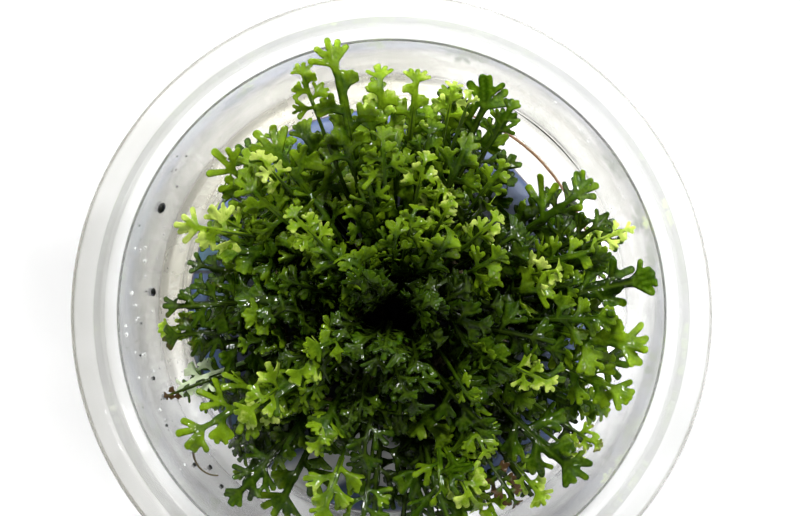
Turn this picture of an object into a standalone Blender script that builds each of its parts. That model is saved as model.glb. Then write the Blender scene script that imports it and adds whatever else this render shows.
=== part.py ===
"""A small bolbitis fern growing in a clear round culture cup.

Run it with: blender --background --python part.py
Metres, +Z up. The origin is the centre of the cup's foot, on the surface that it stands on.

The cup is one turned moulding with a foot ring, a tapered wall, a stacking ledge and a flange
for a lid. A pad of gel lies on its base panel, five curled rhizomes creep over the gel, and the
fronds grow from the rhizomes in storeys, one above another, like the ribs of nested umbrellas.
Each frond is a thin sheet, cut into fans of blunt lobes and bent along an arching spine.
"""

import math
from dataclasses import dataclass

import bpy
from mathutils import Vector

MM = 0.001

# The cup, seen as a section: radii and heights.
RIM_RADIUS = 50.0 * MM
RIM_HEIGHT = 56.0 * MM
WALL = 0.7 * MM
FLANGE_THICKNESS = 0.9 * MM
SKIRT_HEIGHT = 3.2 * MM
COLLAR_TOP_RADIUS = 46.4 * MM
COLLAR_FOOT_RADIUS = 45.6 * MM
LEDGE_HEIGHT = 47.2 * MM
WALL_TOP_RADIUS = 43.6 * MM
WALL_TOP_HEIGHT = 46.0 * MM
WALL_FOOT_RADIUS = 41.6 * MM
WALL_FOOT_HEIGHT = 2.4 * MM
FOOT_OUTER_RADIUS = 41.0 * MM
FOOT_INNER_RADIUS = 37.9 * MM
FOOT_FLOOR = 0.8 * MM
PANEL_RADIUS = 36.9 * MM
PANEL_TOP = 3.0 * MM
CUP_STEPS = 32

# What lies on the base panel.
GAP = 0.3 * MM
GEL_RADIUS = 36.3 * MM
GEL_TOP = 10.0 * MM
GEL_EDGE = 1.2 * MM
RHIZOME_RADIUS = 1.1 * MM
RHIZOME_HEIGHT = GEL_TOP + GAP + RHIZOME_RADIUS
RHIZOME_WAVES = 3
RHIZOME_SWAY = 0.4 * MM
HEART_RING = 2.1 * MM
CROWN_RING = 5.8 * MM
MIDDLE_RING = 12.6 * MM
OUTER_RING = 20.0 * MM

# The fronds.
FROND_THICKNESS = 0.5 * MM
PETIOLE_WIDTH = 1.0 * MM
RACHIS_WIDTH = 1.3 * MM
PETIOLE_STEP = 11.0 * MM
SHOULDER_WIDTH = 1.6
BLADE_DROOP = 1.1 * MM
ROLL_START = 0.35
ROOT_HEIGHT = RHIZOME_HEIGHT + RHIZOME_RADIUS + GAP
SPINE_SAMPLES = 24

# How far from the axis the longest fronds reach, by direction in degrees. The clump leans on the
# cup's wall on the +X side and leaves a gap on the -X side.
REACH = (
    (0.0, 42.4),
    (20.0, 41.8),
    (45.0, 36.5),
    (67.0, 41.5),
    (90.0, 41.0),
    (130.0, 39.5),
    (157.0, 36.5),
    (185.0, 37.5),
    (211.0, 40.5),
    (230.0, 41.6),
    (270.0, 39.5),
    (300.0, 40.0),
    (330.0, 42.0),
    (360.0, 42.4),
)


@dataclass(frozen=True)
class Fan:
    """One pinna: a short stalk that opens into blunt lobes.

    at, stalk and length are shares of the blade's length, as LOBE_WIDTH is. heading is the
    stalk's direction from the rachis, in degrees, positive to the left.
    """

    at: float
    heading: float
    stalk: float
    length: float
    lobes: int


LOBE_SPREAD = 36.0
NOTCH = 0.42
LOBE_WIDTH = 0.095
LONG_PATTERN = (
    Fan(0.06, 60.0, 0.19, 0.23, 3),
    Fan(0.27, -58.0, 0.19, 0.22, 3),
    Fan(0.47, 52.0, 0.17, 0.21, 2),
    Fan(0.74, 0.0, 0.0, 0.27, 3),
)
SHORT_PATTERN = (
    Fan(0.10, -58.0, 0.19, 0.24, 3),
    Fan(0.32, 55.0, 0.19, 0.23, 3),
    Fan(0.50, -54.0, 0.16, 0.21, 2),
    Fan(0.73, 0.0, 0.0, 0.28, 3),
)
LOW_PATTERN = (
    Fan(0.10, -60.0, 0.21, 0.26, 2),
    Fan(0.30, 57.0, 0.20, 0.25, 2),
    Fan(0.50, -54.0, 0.16, 0.21, 2),
    Fan(0.73, 0.0, 0.0, 0.28, 3),
)


@dataclass(frozen=True)
class Storey:
    """Fronds that root on one ring and end at one height.

    Lengths are in millimetres. bend is the spine's control point, as radius and height. A tip
    radius of None means that the tips end where REACH says, less short.
    """

    name: str
    count: int
    first: float
    root: float
    bend: tuple[float, float]
    tip: tuple[float | None, float]
    blade: float
    roll: float
    pattern: tuple[Fan, ...]
    short: float = 0.0
    skip: tuple[int, ...] = ()


STOREYS = (
    Storey("heart_frond", 3, 10.0, 2.1, (2.4, 46.0), (8.0, 50.5), 11.0, 0.0, SHORT_PATTERN),
    Storey("crown_frond", 5, 139.0, 4.9, (5.5, 50.0), (16.5, 47.0), 12.5, 14.0, SHORT_PATTERN),
    Storey("upper_frond", 8, 125.5, 6.9, (9.5, 42.0), (26.0, 41.5), 13.5, 16.0, SHORT_PATTERN),
    Storey("middle_frond", 10, 85.0, 11.7, (15.5, 34.0), (33.5, 34.0), 14.0, 6.0, SHORT_PATTERN),
    Storey(
        "arching_frond", 10, 139.0, 12.6, (20.0, 40.0), (None, 42.0), 15.0, 10.0, LONG_PATTERN,
        skip=(3, 9),
    ),
    Storey("lower_frond", 10, 94.0, 13.5, (21.0, 29.5), (None, 28.0), 15.5, 14.0, LOW_PATTERN, 0.8),
    Storey("skirt_frond", 7, 20.0, 20.0, (26.0, 20.5), (None, 18.5), 13.5, 10.0, LOW_PATTERN, 1.6),
)
TALL_FROND = Storey(
    "tall_frond", 1, 103.0, 12.6, (18.0, 52.0), (44.6, 52.5), 17.0, 8.0, LONG_PATTERN
)
AZIMUTH_WANDER = 1.2
TIP_WANDER = 1.2
HEIGHT_WANDER = 1.1
BLADE_WANDER = 0.06


def wander(index, salt):
    """A number from -1 to 1 that looks random but is the same each run."""
    golden = 0.6180339887
    return 2.0 * ((index * golden + salt * 0.3719) % 1.0) - 1.0


def reach(azimuth):
    """The clump's radius in this direction, in millimetres, eased between the values of REACH."""
    azimuth %= 360.0
    for (start, low), (end, high) in zip(REACH, REACH[1:]):
        if azimuth <= end:
            share = (azimuth - start) / (end - start)
            return low + (high - low) * (0.5 - 0.5 * math.cos(math.pi * share))
    return REACH[0][1]


def polar(length, degrees):
    """A flat vector of this length in this direction."""
    angle = math.radians(degrees)
    return Vector((length * math.cos(angle), length * math.sin(angle)))


def material(name, colour, roughness, alpha=1.0):
    """A Principled material in this colour."""
    made = bpy.data.materials.new(name)
    made.use_nodes = True
    shader = made.node_tree.nodes["Principled BSDF"]
    shader.inputs["Base Color"].default_value = (*colour, 1.0)
    shader.inputs["Roughness"].default_value = roughness
    shader.inputs["Metallic"].default_value = 0.0
    shader.inputs["Alpha"].default_value = alpha
    return made


def turned(name, profile, steps, finish, collection):
    """A solid of revolution about Z. The profile is (radius, height) points, from the axis on the
    underside, out and up over the outside, and back to the axis over the inside."""
    mesh = bpy.data.meshes.new(name)
    points = [(radius, 0.0, height) for radius, height in profile]
    edges = [(i, i + 1) for i in range(len(points) - 1)]
    mesh.from_pydata(points, edges, [])
    obj = bpy.data.objects.new(name, mesh)
    collection.objects.link(obj)
    screw = obj.modifiers.new("turn", "SCREW")
    screw.axis = "Z"
    screw.steps = steps
    screw.render_steps = steps
    screw.use_merge_vertices = True
    screw.merge_threshold = 0.00001
    screw.use_smooth_shade = True
    screw.use_normal_flip = True
    mesh.materials.append(finish)
    return obj


def build_cup(collection):
    """The moulded cup: foot ring, raised panel, wall, ledge, collar and flange with its skirt."""
    finish = material("clear_plastic", (0.93, 0.94, 0.94), 0.08, 0.25)
    outer_wall = WALL_TOP_RADIUS + WALL
    profile = (
        (0.0, PANEL_TOP - WALL),
        (PANEL_RADIUS, PANEL_TOP - WALL),
        (FOOT_INNER_RADIUS, 0.0),
        (FOOT_OUTER_RADIUS, 0.0),
        (WALL_FOOT_RADIUS + WALL, WALL_FOOT_HEIGHT - WALL),
        (outer_wall, WALL_TOP_HEIGHT - 0.3 * WALL),
        (COLLAR_FOOT_RADIUS + WALL, LEDGE_HEIGHT - 0.5 * WALL),
        (COLLAR_TOP_RADIUS + WALL, RIM_HEIGHT - FLANGE_THICKNESS),
        (RIM_RADIUS - WALL, RIM_HEIGHT - FLANGE_THICKNESS),
        (RIM_RADIUS - WALL, RIM_HEIGHT - SKIRT_HEIGHT),
        (RIM_RADIUS, RIM_HEIGHT - SKIRT_HEIGHT),
        (RIM_RADIUS, RIM_HEIGHT - 0.6 * MM),
        (RIM_RADIUS - 0.6 * MM, RIM_HEIGHT),
        (COLLAR_TOP_RADIUS + 0.5 * MM, RIM_HEIGHT),
        (COLLAR_TOP_RADIUS, RIM_HEIGHT - 0.8 * MM),
        (COLLAR_FOOT_RADIUS, LEDGE_HEIGHT),
        (WALL_TOP_RADIUS, WALL_TOP_HEIGHT),
        (WALL_FOOT_RADIUS, WALL_FOOT_HEIGHT),
        (FOOT_OUTER_RADIUS - 0.4 * MM, FOOT_FLOOR),
        (FOOT_INNER_RADIUS + 0.4 * MM, FOOT_FLOOR),
        (PANEL_RADIUS, PANEL_TOP),
        (0.0, PANEL_TOP),
    )
    return turned("cup", profile, CUP_STEPS, finish, collection)


def build_gel(collection):
    """The pad of gel on the base panel, with an eased upper edge."""
    finish = material("gel", (0.13, 0.19, 0.32), 0.12, 0.9)
    foot = PANEL_TOP + GAP
    profile = (
        (0.0, foot),
        (GEL_RADIUS, foot),
        (GEL_RADIUS, GEL_TOP - GEL_EDGE),
        (GEL_RADIUS - GEL_EDGE, GEL_TOP),
        (0.0, GEL_TOP),
    )
    return turned("gel_pad", profile, CUP_STEPS, finish, collection)


def build_rhizome(name, ring, start, sweep, points, finish, collection):
    """A creeping stem: a tube curled along a ring from start, over sweep degrees, that sways a
    little in and out."""
    curve = bpy.data.curves.new(name, "CURVE")
    curve.dimensions = "3D"
    curve.bevel_depth = RHIZOME_RADIUS
    curve.bevel_resolution = 1
    curve.use_fill_caps = True
    spline = curve.splines.new("POLY")
    spline.points.add(points - 1)
    for i, point in enumerate(spline.points):
        azimuth = start + sweep * i / (points - 1)
        sway = RHIZOME_SWAY * math.sin(RHIZOME_WAVES * math.radians(azimuth))
        place = polar(ring + sway, azimuth)
        point.co = (place.x, place.y, RHIZOME_HEIGHT, 1.0)
    obj = bpy.data.objects.new(name, curve)
    collection.objects.link(obj)
    curve.materials.append(finish)
    return obj


def build_rhizomes(collection):
    """Five rhizomes: a short one at the heart, two curled round it, and two long ones outside."""
    finish = material("rhizome", (0.09, 0.07, 0.03), 0.6)
    build_rhizome("rhizome_heart", HEART_RING, 0.0, 260.0, 7, finish, collection)
    build_rhizome("rhizome_crown", CROWN_RING, 105.0, 325.0, 10, finish, collection)
    build_rhizome("rhizome_middle", MIDDLE_RING, 80.0, 350.0, 16, finish, collection)
    build_rhizome("rhizome_east", OUTER_RING, -80.0, 160.0, 10, finish, collection)
    build_rhizome("rhizome_west", OUTER_RING, 100.0, 160.0, 10, finish, collection)


def spine_of(storey, index, azimuth):
    """The spine of one frond as points (radius, height) at even steps of a quadratic curve, and
    the length along it up to each."""
    tip_radius, tip_height = storey.tip
    if tip_radius is None:
        tip_radius = reach(azimuth) - storey.short - 0.5 * abs(wander(index, 2))
    else:
        tip_radius += TIP_WANDER * wander(index, 2) * (storey.count > 1)
    tip_height += HEIGHT_WANDER * wander(index, 3) * (storey.count > 1)
    start = Vector((storey.root * MM, ROOT_HEIGHT))
    bend = Vector(storey.bend) * MM
    end = Vector((tip_radius, tip_height)) * MM
    points, lengths = [], []
    for i in range(SPINE_SAMPLES + 1):
        t = i / SPINE_SAMPLES
        points.append(start * (1 - t) ** 2 + bend * 2 * t * (1 - t) + end * t**2)
        step = (points[-1] - points[-2]).length if i else 0.0
        lengths.append(step + (lengths[-1] if i else 0.0))
    return points, lengths


def fan_outline(fan, petiole, blade, side):
    """The outline of one fan, lobe by lobe, anticlockwise: two corners at each lobe's end, and a
    notch between neighbours. side is -1 for a mirrored blade."""
    heading = fan.heading * side
    origin = Vector((petiole + fan.at * blade, 0.0))
    hub = origin + polar(fan.stalk * blade, heading)
    outline = []
    for lobe in range(fan.lobes):
        angle = heading + LOBE_SPREAD * (lobe - (fan.lobes - 1) / 2)
        if lobe:
            outline.append(hub + polar(NOTCH * fan.length * blade, angle - LOBE_SPREAD / 2))
        end = hub + polar(fan.length * blade, angle)
        outline.append(end + polar(LOBE_WIDTH / 2 * blade, angle - 90.0))
        outline.append(end + polar(LOBE_WIDTH / 2 * blade, angle + 90.0))
    return outline


def add_fan(points, faces, lobes, first, last):
    """Adds one fan to the sheet, between the corners first and last of the rachis."""
    base = len(points)
    points += lobes
    count = (len(lobes) + 1) // 3
    core = [first] + [base + 3 * lobe + 2 for lobe in range(count - 1)] + [last]
    for lobe in range(count):
        near, far = base + 3 * lobe, base + 3 * lobe + 1
        faces.append((core[lobe], near, far))
        faces.append((core[lobe], far, core[lobe + 1]))
        if lobe:
            faces.append((first, core[lobe], core[lobe + 1]))


def frond_sheet(pattern, petiole, blade, side):
    """The whole frond as a flat sheet: X along the rachis, Y across it.

    The petiole and the rachis are a strip of triangles between their two edges, whose corners lie
    where the fans join it. Returns the points, the faces and the half width.
    """
    half = RACHIS_WIDTH / 2
    steps = max(2, round(petiole / PETIOLE_STEP))
    right, left = [], []
    for i in range(steps + 1):
        right.append(Vector((petiole * i / steps, -PETIOLE_WIDTH / 2)))
        left.append(Vector((petiole * i / steps, PETIOLE_WIDTH / 2)))
    joined = []
    for fan in pattern[:-1]:
        edge, across = (left, half) if fan.heading * side > 0 else (right, -half)
        along = petiole + fan.at * blade
        joined.append((fan, edge is left, len(edge)))
        edge.append(Vector((along, across)))
        edge.append(Vector((along + SHOULDER_WIDTH * half, across)))
    shoulder = petiole + pattern[-1].at * blade
    right.append(Vector((shoulder, -half)))
    left.append(Vector((shoulder, half)))

    points = right + left
    faces = []
    i, j = 0, 0
    while i < len(right) - 1 or j < len(left) - 1:
        left_next = j < len(left) - 1 and (i == len(right) - 1 or left[j + 1].x <= right[i + 1].x)
        if left_next:
            faces.append((i, len(right) + j + 1, len(right) + j))
            j += 1
        else:
            faces.append((i, i + 1, len(right) + j))
            i += 1
    for fan, on_left, at in joined:
        first, last = (len(right) + at + 1, len(right) + at) if on_left else (at, at + 1)
        add_fan(points, faces, fan_outline(fan, petiole, blade, side), first, last)
    ending = fan_outline(pattern[-1], petiole, blade, side)
    add_fan(points, faces, ending, len(right) - 1, len(right) + len(left) - 1)
    return points, faces, max(abs(point.y) for point in points)


def bend_frond(flat, half_width, points, lengths, azimuth, roll):
    """The flat points bent along the spine, which lies in the upright plane at this azimuth. The
    blade is rolled about the spine, and its sides droop with the square of their distance."""
    outward = polar(1.0, azimuth).to_3d()
    across = Vector((-outward.y, outward.x, 0.0))
    roll_start = lengths[-1] * ROLL_START
    bent = []
    for flat_point in flat:
        along = flat_point.x
        step = 1
        while step < SPINE_SAMPLES and lengths[step] < along:
            step += 1
        back, front = points[step - 1], points[step]
        tangent = (front - back).normalized()
        place = back + tangent * (along - lengths[step - 1])
        normal = outward * -tangent.y + Vector((0.0, 0.0, tangent.x))
        turn = math.radians(roll) * min(1.0, max(0.0, along / roll_start - 1.0))
        sideways = across * math.cos(turn) + normal * math.sin(turn)
        up = normal * math.cos(turn) - across * math.sin(turn)
        droop = BLADE_DROOP * (flat_point.y / half_width) ** 2
        spot = outward * place.x + Vector((0.0, 0.0, place.y))
        bent.append(spot + sideways * flat_point.y - up * droop)
    return bent


def build_frond(storey, index, name, finish, collection):
    """One frond of a storey: its sheet, bent to its place and given a thickness."""
    turns = 360.0 / storey.count * index
    azimuth = storey.first + turns + AZIMUTH_WANDER * wander(index, 1) * (storey.count > 1)
    points, lengths = spine_of(storey, index, azimuth)
    blade = storey.blade * MM * (1.0 + BLADE_WANDER * wander(index, 4))
    side = 1 if index % 2 else -1
    flat, faces, half_width = frond_sheet(storey.pattern, lengths[-1] - blade, blade, side)
    mesh = bpy.data.meshes.new(name)
    bent = bend_frond(flat, half_width, points, lengths, azimuth, storey.roll)
    mesh.from_pydata(bent, [], faces)
    obj = bpy.data.objects.new(name, mesh)
    collection.objects.link(obj)
    mesh.materials.append(finish)
    solidify = obj.modifiers.new("thickness", "SOLIDIFY")
    solidify.thickness = FROND_THICKNESS
    solidify.offset = 0.0
    return obj


def build_fronds(collection):
    """All the storeys, from the crown down to the skirt, and the one tall frond."""
    finish = material("frond", (0.10, 0.22, 0.02), 0.35)
    for storey in STOREYS:
        number = 0
        for index in range(storey.count):
            if index in storey.skip:
                continue
            number += 1
            build_frond(storey, index, f"{storey.name}_{number}", finish, collection)
    build_frond(TALL_FROND, 0, TALL_FROND.name, finish, collection)


def main():
    """Builds the cup, the gel, the rhizomes and the fronds in one collection."""
    for obj in list(bpy.data.objects):
        bpy.data.objects.remove(obj)
    collection = bpy.data.collections.new("bolbitis_fern")
    bpy.context.scene.collection.children.link(collection)
    build_cup(collection)
    build_gel(collection)
    build_rhizomes(collection)
    build_fronds(collection)


main()
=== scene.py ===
"""The looks of a small bolbitis fern in its clear culture cup, seen from straight above.

Sizes are in millimetres, and a mesh's points are put into metres when it is made. The frame is
the CAD model's: +Z up, with the origin under the cup's centre on the surface that it stands on.
The places of the cup, gel, rhizomes and fronds repeat the CAD model's.

A frond's blade is worked out flat first, as the outline of softly joined limbs on a grid, and is
then curled, waved and carried along the frond's arching spine.
"""

import logging
import math
from dataclasses import dataclass, field, replace
from enum import Enum

import bpy
import numpy as np
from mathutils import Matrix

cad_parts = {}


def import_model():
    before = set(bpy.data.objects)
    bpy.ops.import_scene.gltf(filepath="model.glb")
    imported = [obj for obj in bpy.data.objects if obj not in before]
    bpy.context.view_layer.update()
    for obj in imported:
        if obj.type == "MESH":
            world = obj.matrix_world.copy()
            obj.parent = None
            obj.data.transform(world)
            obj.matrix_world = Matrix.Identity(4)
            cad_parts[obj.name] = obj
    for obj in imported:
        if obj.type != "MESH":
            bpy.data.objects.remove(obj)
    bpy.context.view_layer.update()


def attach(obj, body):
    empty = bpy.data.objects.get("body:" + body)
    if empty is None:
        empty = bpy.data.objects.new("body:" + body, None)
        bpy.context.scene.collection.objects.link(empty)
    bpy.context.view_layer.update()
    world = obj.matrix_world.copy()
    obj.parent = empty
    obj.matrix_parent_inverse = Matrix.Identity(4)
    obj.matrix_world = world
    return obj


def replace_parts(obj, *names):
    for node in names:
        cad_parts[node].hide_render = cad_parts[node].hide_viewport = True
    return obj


MM = 0.001
TURN = 2.0 * math.pi
BODY = "root"
LOG = logging.getLogger("bolbitis_fern")
UP = np.array([0.0, 0.0, 1.0])
GOLDEN = 0.6180339887
SALTED = 0.3719

Colour = tuple[float, float, float]
Pair = tuple[float, float]
Socket = bpy.types.NodeSocket
Material = bpy.types.Material


def wander(index: int, salt: int) -> float:
    """An even, repeatable scatter from -1 to 1 for a numbered thing. The salt picks one of several."""
    return 2.0 * ((index * GOLDEN + salt * SALTED) % 1.0) - 1.0


def eased(value: np.ndarray, low: float, high: float) -> np.ndarray:
    """A smooth step from 0 at low to 1 at high: t * t * (3 - 2 t), with t the share of the way."""
    share = np.clip((value - low) / (high - low), 0.0, 1.0)
    return share * share * (3.0 - 2.0 * share)


def unit(vectors: np.ndarray) -> np.ndarray:
    """Vectors along the last axis, each scaled to a length of 1."""
    return vectors / np.linalg.norm(vectors, axis=-1, keepdims=True)


def compass(degrees: float) -> tuple[np.ndarray, np.ndarray]:
    """The level directions away from the axis and round it at an azimuth in degrees."""
    angle = math.radians(degrees)
    outward = np.array([math.cos(angle), math.sin(angle), 0.0])
    return outward, np.array([-outward[1], outward[0], 0.0])


def round_angles(count: int) -> np.ndarray:
    """Even angles all the way round, in radians, from 0."""
    return TURN * np.arange(count) / count


def polar(radius: np.ndarray, angle: np.ndarray, height: np.ndarray | float) -> np.ndarray:
    """Points (radius cos a, radius sin a, height) at angles a in radians."""
    parts = radius * np.cos(angle), radius * np.sin(angle), height
    return np.stack(np.broadcast_arrays(*parts), axis=-1)


def strolled(start: np.ndarray, turn: np.ndarray, step: float, height: np.ndarray) -> np.ndarray:
    """A winding path: start + step times the running sum of (cos turn, sin turn), at its heights.

    Args:
        start: where it starts.
        turn: the heading of each step, in radians.
        step: the steps' length.
        height: the height after each step.

    Returns:
        The path's points, (n, 3).
    """
    x = start[0] + np.cumsum(np.cos(turn)) * step
    y = start[1] + np.cumsum(np.sin(turn)) * step
    return np.stack([x, y, height], axis=1)


@dataclass
class Shell:
    """A closed surface of triangles.

    Attributes:
        points: corners in millimetres, (n, 3).
        faces: corner numbers of the triangles, (m, 3), anticlockwise from outside.
        values: numbers that go with the corners, by name.
    """

    points: np.ndarray
    faces: np.ndarray
    values: dict[str, np.ndarray] = field(default_factory=dict)

    @classmethod
    def joined(cls, shells: list["Shell"]) -> "Shell":
        """Several shells as one.

        Args:
            shells: the shells, which all carry the same values.

        Returns:
            One shell that holds them all.
        """
        starts = np.cumsum([0] + [len(shell.points) for shell in shells[:-1]])
        points = np.concatenate([shell.points for shell in shells])
        faces = np.concatenate([shell.faces + start for shell, start in zip(shells, starts)])
        names = shells[0].values
        values = {name: np.concatenate([shell.values[name] for shell in shells]) for name in names}
        return cls(points, faces, values)

    def painted(self, **values: float | np.ndarray) -> "Shell":
        """The same shell with more values, each one number or one for each corner."""
        count = len(self.points)
        more = {name: np.broadcast_to(value, count).astype(float) for name, value in values.items()}
        return Shell(self.points, self.faces, {**self.values, **more})

    def piece(self, name: str, finish: Material, slot: str) -> bpy.types.Object:
        """Makes the shell an object that rides on the plant's body.

        Args:
            name: the object's name.
            finish: its material.
            slot: the material slot that it stands for; not used.

        Returns:
            The object, at the origin, with its place in its mesh.
        """
        mesh = bpy.data.meshes.new(name)
        mesh.vertices.add(len(self.points))
        mesh.vertices.foreach_set("co", (self.points * MM).astype(np.float32).ravel())
        mesh.loops.add(self.faces.size)
        mesh.loops.foreach_set("vertex_index", self.faces.astype(np.int32).ravel())
        mesh.polygons.add(len(self.faces))
        mesh.polygons.foreach_set("loop_start", np.arange(0, self.faces.size, 3, dtype=np.int32))
        for key, value in self.values.items():
            attribute = mesh.attributes.new(key, "FLOAT", "POINT")
            attribute.data.foreach_set("value", value.astype(np.float32))
        mesh.update(calc_edges=True)
        mesh.validate()
        mesh.shade_smooth()
        mesh.materials.append(finish)
        made = bpy.data.objects.new(name, mesh)
        bpy.context.scene.collection.objects.link(made)
        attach(made, BODY)
        LOG.info("%s: %d triangles", name, len(self.faces))
        return made


def swept(rings: np.ndarray) -> Shell:
    """A closed surface over a grid of rings, with a pole at the middle of each end ring.

    Point (i, j) is corner j of ring i. The corners run anticlockwise as seen from the last ring.

    Args:
        rings: points, (rings, corners, 3).

    Returns:
        The closed shell.
    """
    count, sides = rings.shape[:2]
    row = np.arange(count - 1)[:, None] * sides
    corner = np.arange(sides)[None, :]
    after = (corner + 1) % sides
    here, right = row + corner, row + after
    above, across = here + sides, right + sides
    first = np.full(sides, count * sides)
    last = first + 1
    top = (count - 1) * sides
    faces = np.concatenate(
        [
            np.stack([here, right, across], axis=-1).reshape(-1, 3),
            np.stack([here, across, above], axis=-1).reshape(-1, 3),
            np.stack([first, after[0], corner[0]], axis=-1),
            np.stack([last, top + corner[0], top + after[0]], axis=-1),
        ]
    )
    poles = rings[[0, -1]].mean(axis=1)
    return Shell(np.concatenate([rings.reshape(-1, 3), poles]), faces)


def revolved(radii: np.ndarray, heights: np.ndarray) -> Shell:
    """A closed surface turned about Z. Its rings run up the outside and down the inside."""
    return swept(polar(radii, round_angles(radii.shape[1]), heights))


def tube(path: np.ndarray, radii: np.ndarray, sides: int, up: np.ndarray = UP) -> Shell:
    """A round tube: path + radius (cos a * side + sin a * rise), with side = up x tangent.

    Args:
        path: points along the middle, (n, 3).
        radii: radius at each point, (n,) or (n, sides).
        sides: corners of each ring.
        up: a direction, or one for each point, that is nowhere along the path.

    Returns:
        The closed shell, with blunt ends.
    """
    tangent = unit(np.gradient(path, axis=0))
    side = unit(np.cross(np.broadcast_to(up, path.shape), tangent))
    rise = np.cross(tangent, side)
    angle = round_angles(sides)[None, :, None]
    spokes = np.cos(angle) * side[:, None] + np.sin(angle) * rise[:, None]
    width = radii if radii.ndim == 2 else np.repeat(radii[:, None], sides, axis=1)
    return swept(path[:, None] + width[..., None] * spokes)


def rounded(profile: np.ndarray, radius: float, steps: int, most: float = 0.42) -> np.ndarray:
    """A section with eased corners: each becomes a quadratic curve from a cut before it to a cut
    after it, (1 - t)^2 before + 2 t (1 - t) corner + t^2 after.

    Args:
        profile: corner points, (n, 2).
        radius: how far from a corner the cuts are, where its sides are long enough.
        steps: points on each curve.
        most: the largest share of a side that a curve takes up.

    Returns:
        The eased section, with the first and last points kept.
    """
    corner = profile[1:-1]
    back, ahead = profile[:-2] - corner, profile[2:] - corner
    room = most * np.minimum(np.linalg.norm(back, axis=1), np.linalg.norm(ahead, axis=1))
    cut = np.minimum(room, radius)[:, None]
    before, after = corner + unit(back) * cut, corner + unit(ahead) * cut
    share = np.linspace(0.0, 1.0, steps)[None, :, None]
    curve = (1 - share) ** 2 * before[:, None] + 2 * share * (1 - share) * corner[:, None]
    curve = curve + share**2 * after[:, None]
    return np.concatenate([profile[:1], curve.reshape(-1, 2), profile[-1:]])


def solid(colour: object) -> object:
    """A colour with its alpha, or the socket as it is."""
    return (*colour, 1.0) if isinstance(colour, tuple) and len(colour) == 3 else colour


class Nodes:
    """Adds shader nodes to a tree and links them."""

    def __init__(self, tree: bpy.types.NodeTree) -> None:
        """Keeps the tree that the nodes go into."""
        self.tree = tree

    def add(self, kind: str, inputs: dict | None = None, **settings: object) -> bpy.types.Node:
        """Adds one node.

        Args:
            kind: its type, without the leading ShaderNode.
            inputs: a value, or another node's socket, for each input by name or number.
            settings: the node's own settings.

        Returns:
            The node.
        """
        node = self.tree.nodes.new(f"ShaderNode{kind}")
        for name, value in settings.items():
            setattr(node, name, value)
        for socket, value in (inputs or {}).items():
            if isinstance(value, Socket):
                self.tree.links.new(value, node.inputs[socket])
            else:
                node.inputs[socket].default_value = value
        return node

    def value(self, name: str) -> Socket:
        """Reads a number that goes with the mesh's corners."""
        return self.add("Attribute", attribute_name=name).outputs["Fac"]

    def place(self) -> Socket:
        """Reads the place on the object, in metres."""
        return self.add("TexCoord").outputs["Object"]

    def sum(self, *terms: object) -> Socket:
        """Adds numbers or sockets up."""
        total = terms[0]
        for term in terms[1:]:
            total = self.add("Math", {0: total, 1: term}, operation="ADD").outputs[0]
        return total

    def times(self, first: object, second: object) -> Socket:
        """Multiplies two numbers or sockets."""
        return self.add("Math", {0: first, 1: second}, operation="MULTIPLY").outputs[0]

    def between(self, value: object, low: float, high: float, ends: Pair = (0.0, 1.0)) -> Socket:
        """Maps a value smoothly, so that low gives the first end and high gives the second."""
        inputs = {"Value": value, "From Min": low, "From Max": high, "To Min": ends[0], "To Max": ends[1]}
        return self.add("MapRange", inputs, interpolation_type="SMOOTHSTEP").outputs["Result"]

    def blend(self, share: object, first: object, second: object, mode: str = "MIX") -> Socket:
        """Mixes two colours, or their sockets, with the share of the second one."""
        inputs = {0: share, 6: solid(first), 7: solid(second)}
        return self.add("Mix", inputs, data_type="RGBA", blend_type=mode, clamp_result=False).outputs[2]

    def ramp(self, value: object, stops: tuple[tuple[float, Colour], ...]) -> Socket:
        """Reads a colour off a ramp.

        Args:
            value: where the ramp is read.
            stops: places on it from 0 to 1, with their colours.

        Returns:
            The colour's socket.
        """
        node = self.add("ValToRGB", {0: value})
        elements = node.color_ramp.elements
        while len(elements) < len(stops):
            elements.new(0.5)
        for element, (place, colour) in zip(elements, stops):
            element.position = place
            element.color = solid(colour)
        return node.outputs["Color"]

    def bump(self, height: object, strength: float, distance: float) -> Socket:
        """Turns heights from 0 to 1 into a normal. The distance is how high 1 is, in millimetres."""
        inputs = {"Height": height, "Strength": strength, "Distance": distance * MM}
        return self.add("Bump", inputs).outputs["Normal"]


class MaterialNodes(Nodes):
    """The nodes of a new material."""

    def __init__(self, name: str) -> None:
        """Starts the material of that name."""
        self.material = bpy.data.materials.new(name)
        self.material.use_nodes = True
        self.material.node_tree.nodes.clear()
        super().__init__(self.material.node_tree)

    def shown(self, shader: bpy.types.Node) -> Material:
        """Puts a shader on the surface and gives back the material."""
        self.add("OutputMaterial", {"Surface": shader.outputs[0]})
        return self.material

    def shown_clear(self, shader: bpy.types.Node, shade: Colour) -> Material:
        """Puts a clear shader on the surface. Lamps shine through it, so it casts only a faint shade.

        Args:
            shader: the shader.
            shade: the colour of the light that it lets through.

        Returns:
            The material.
        """
        gap = self.add("BsdfTransparent", {"Color": solid(shade)})
        shadow = self.add("LightPath").outputs["Is Shadow Ray"]
        return self.shown(self.add("MixShader", {0: shadow, 1: shader.outputs[0], 2: gap.outputs[0]}))


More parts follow.
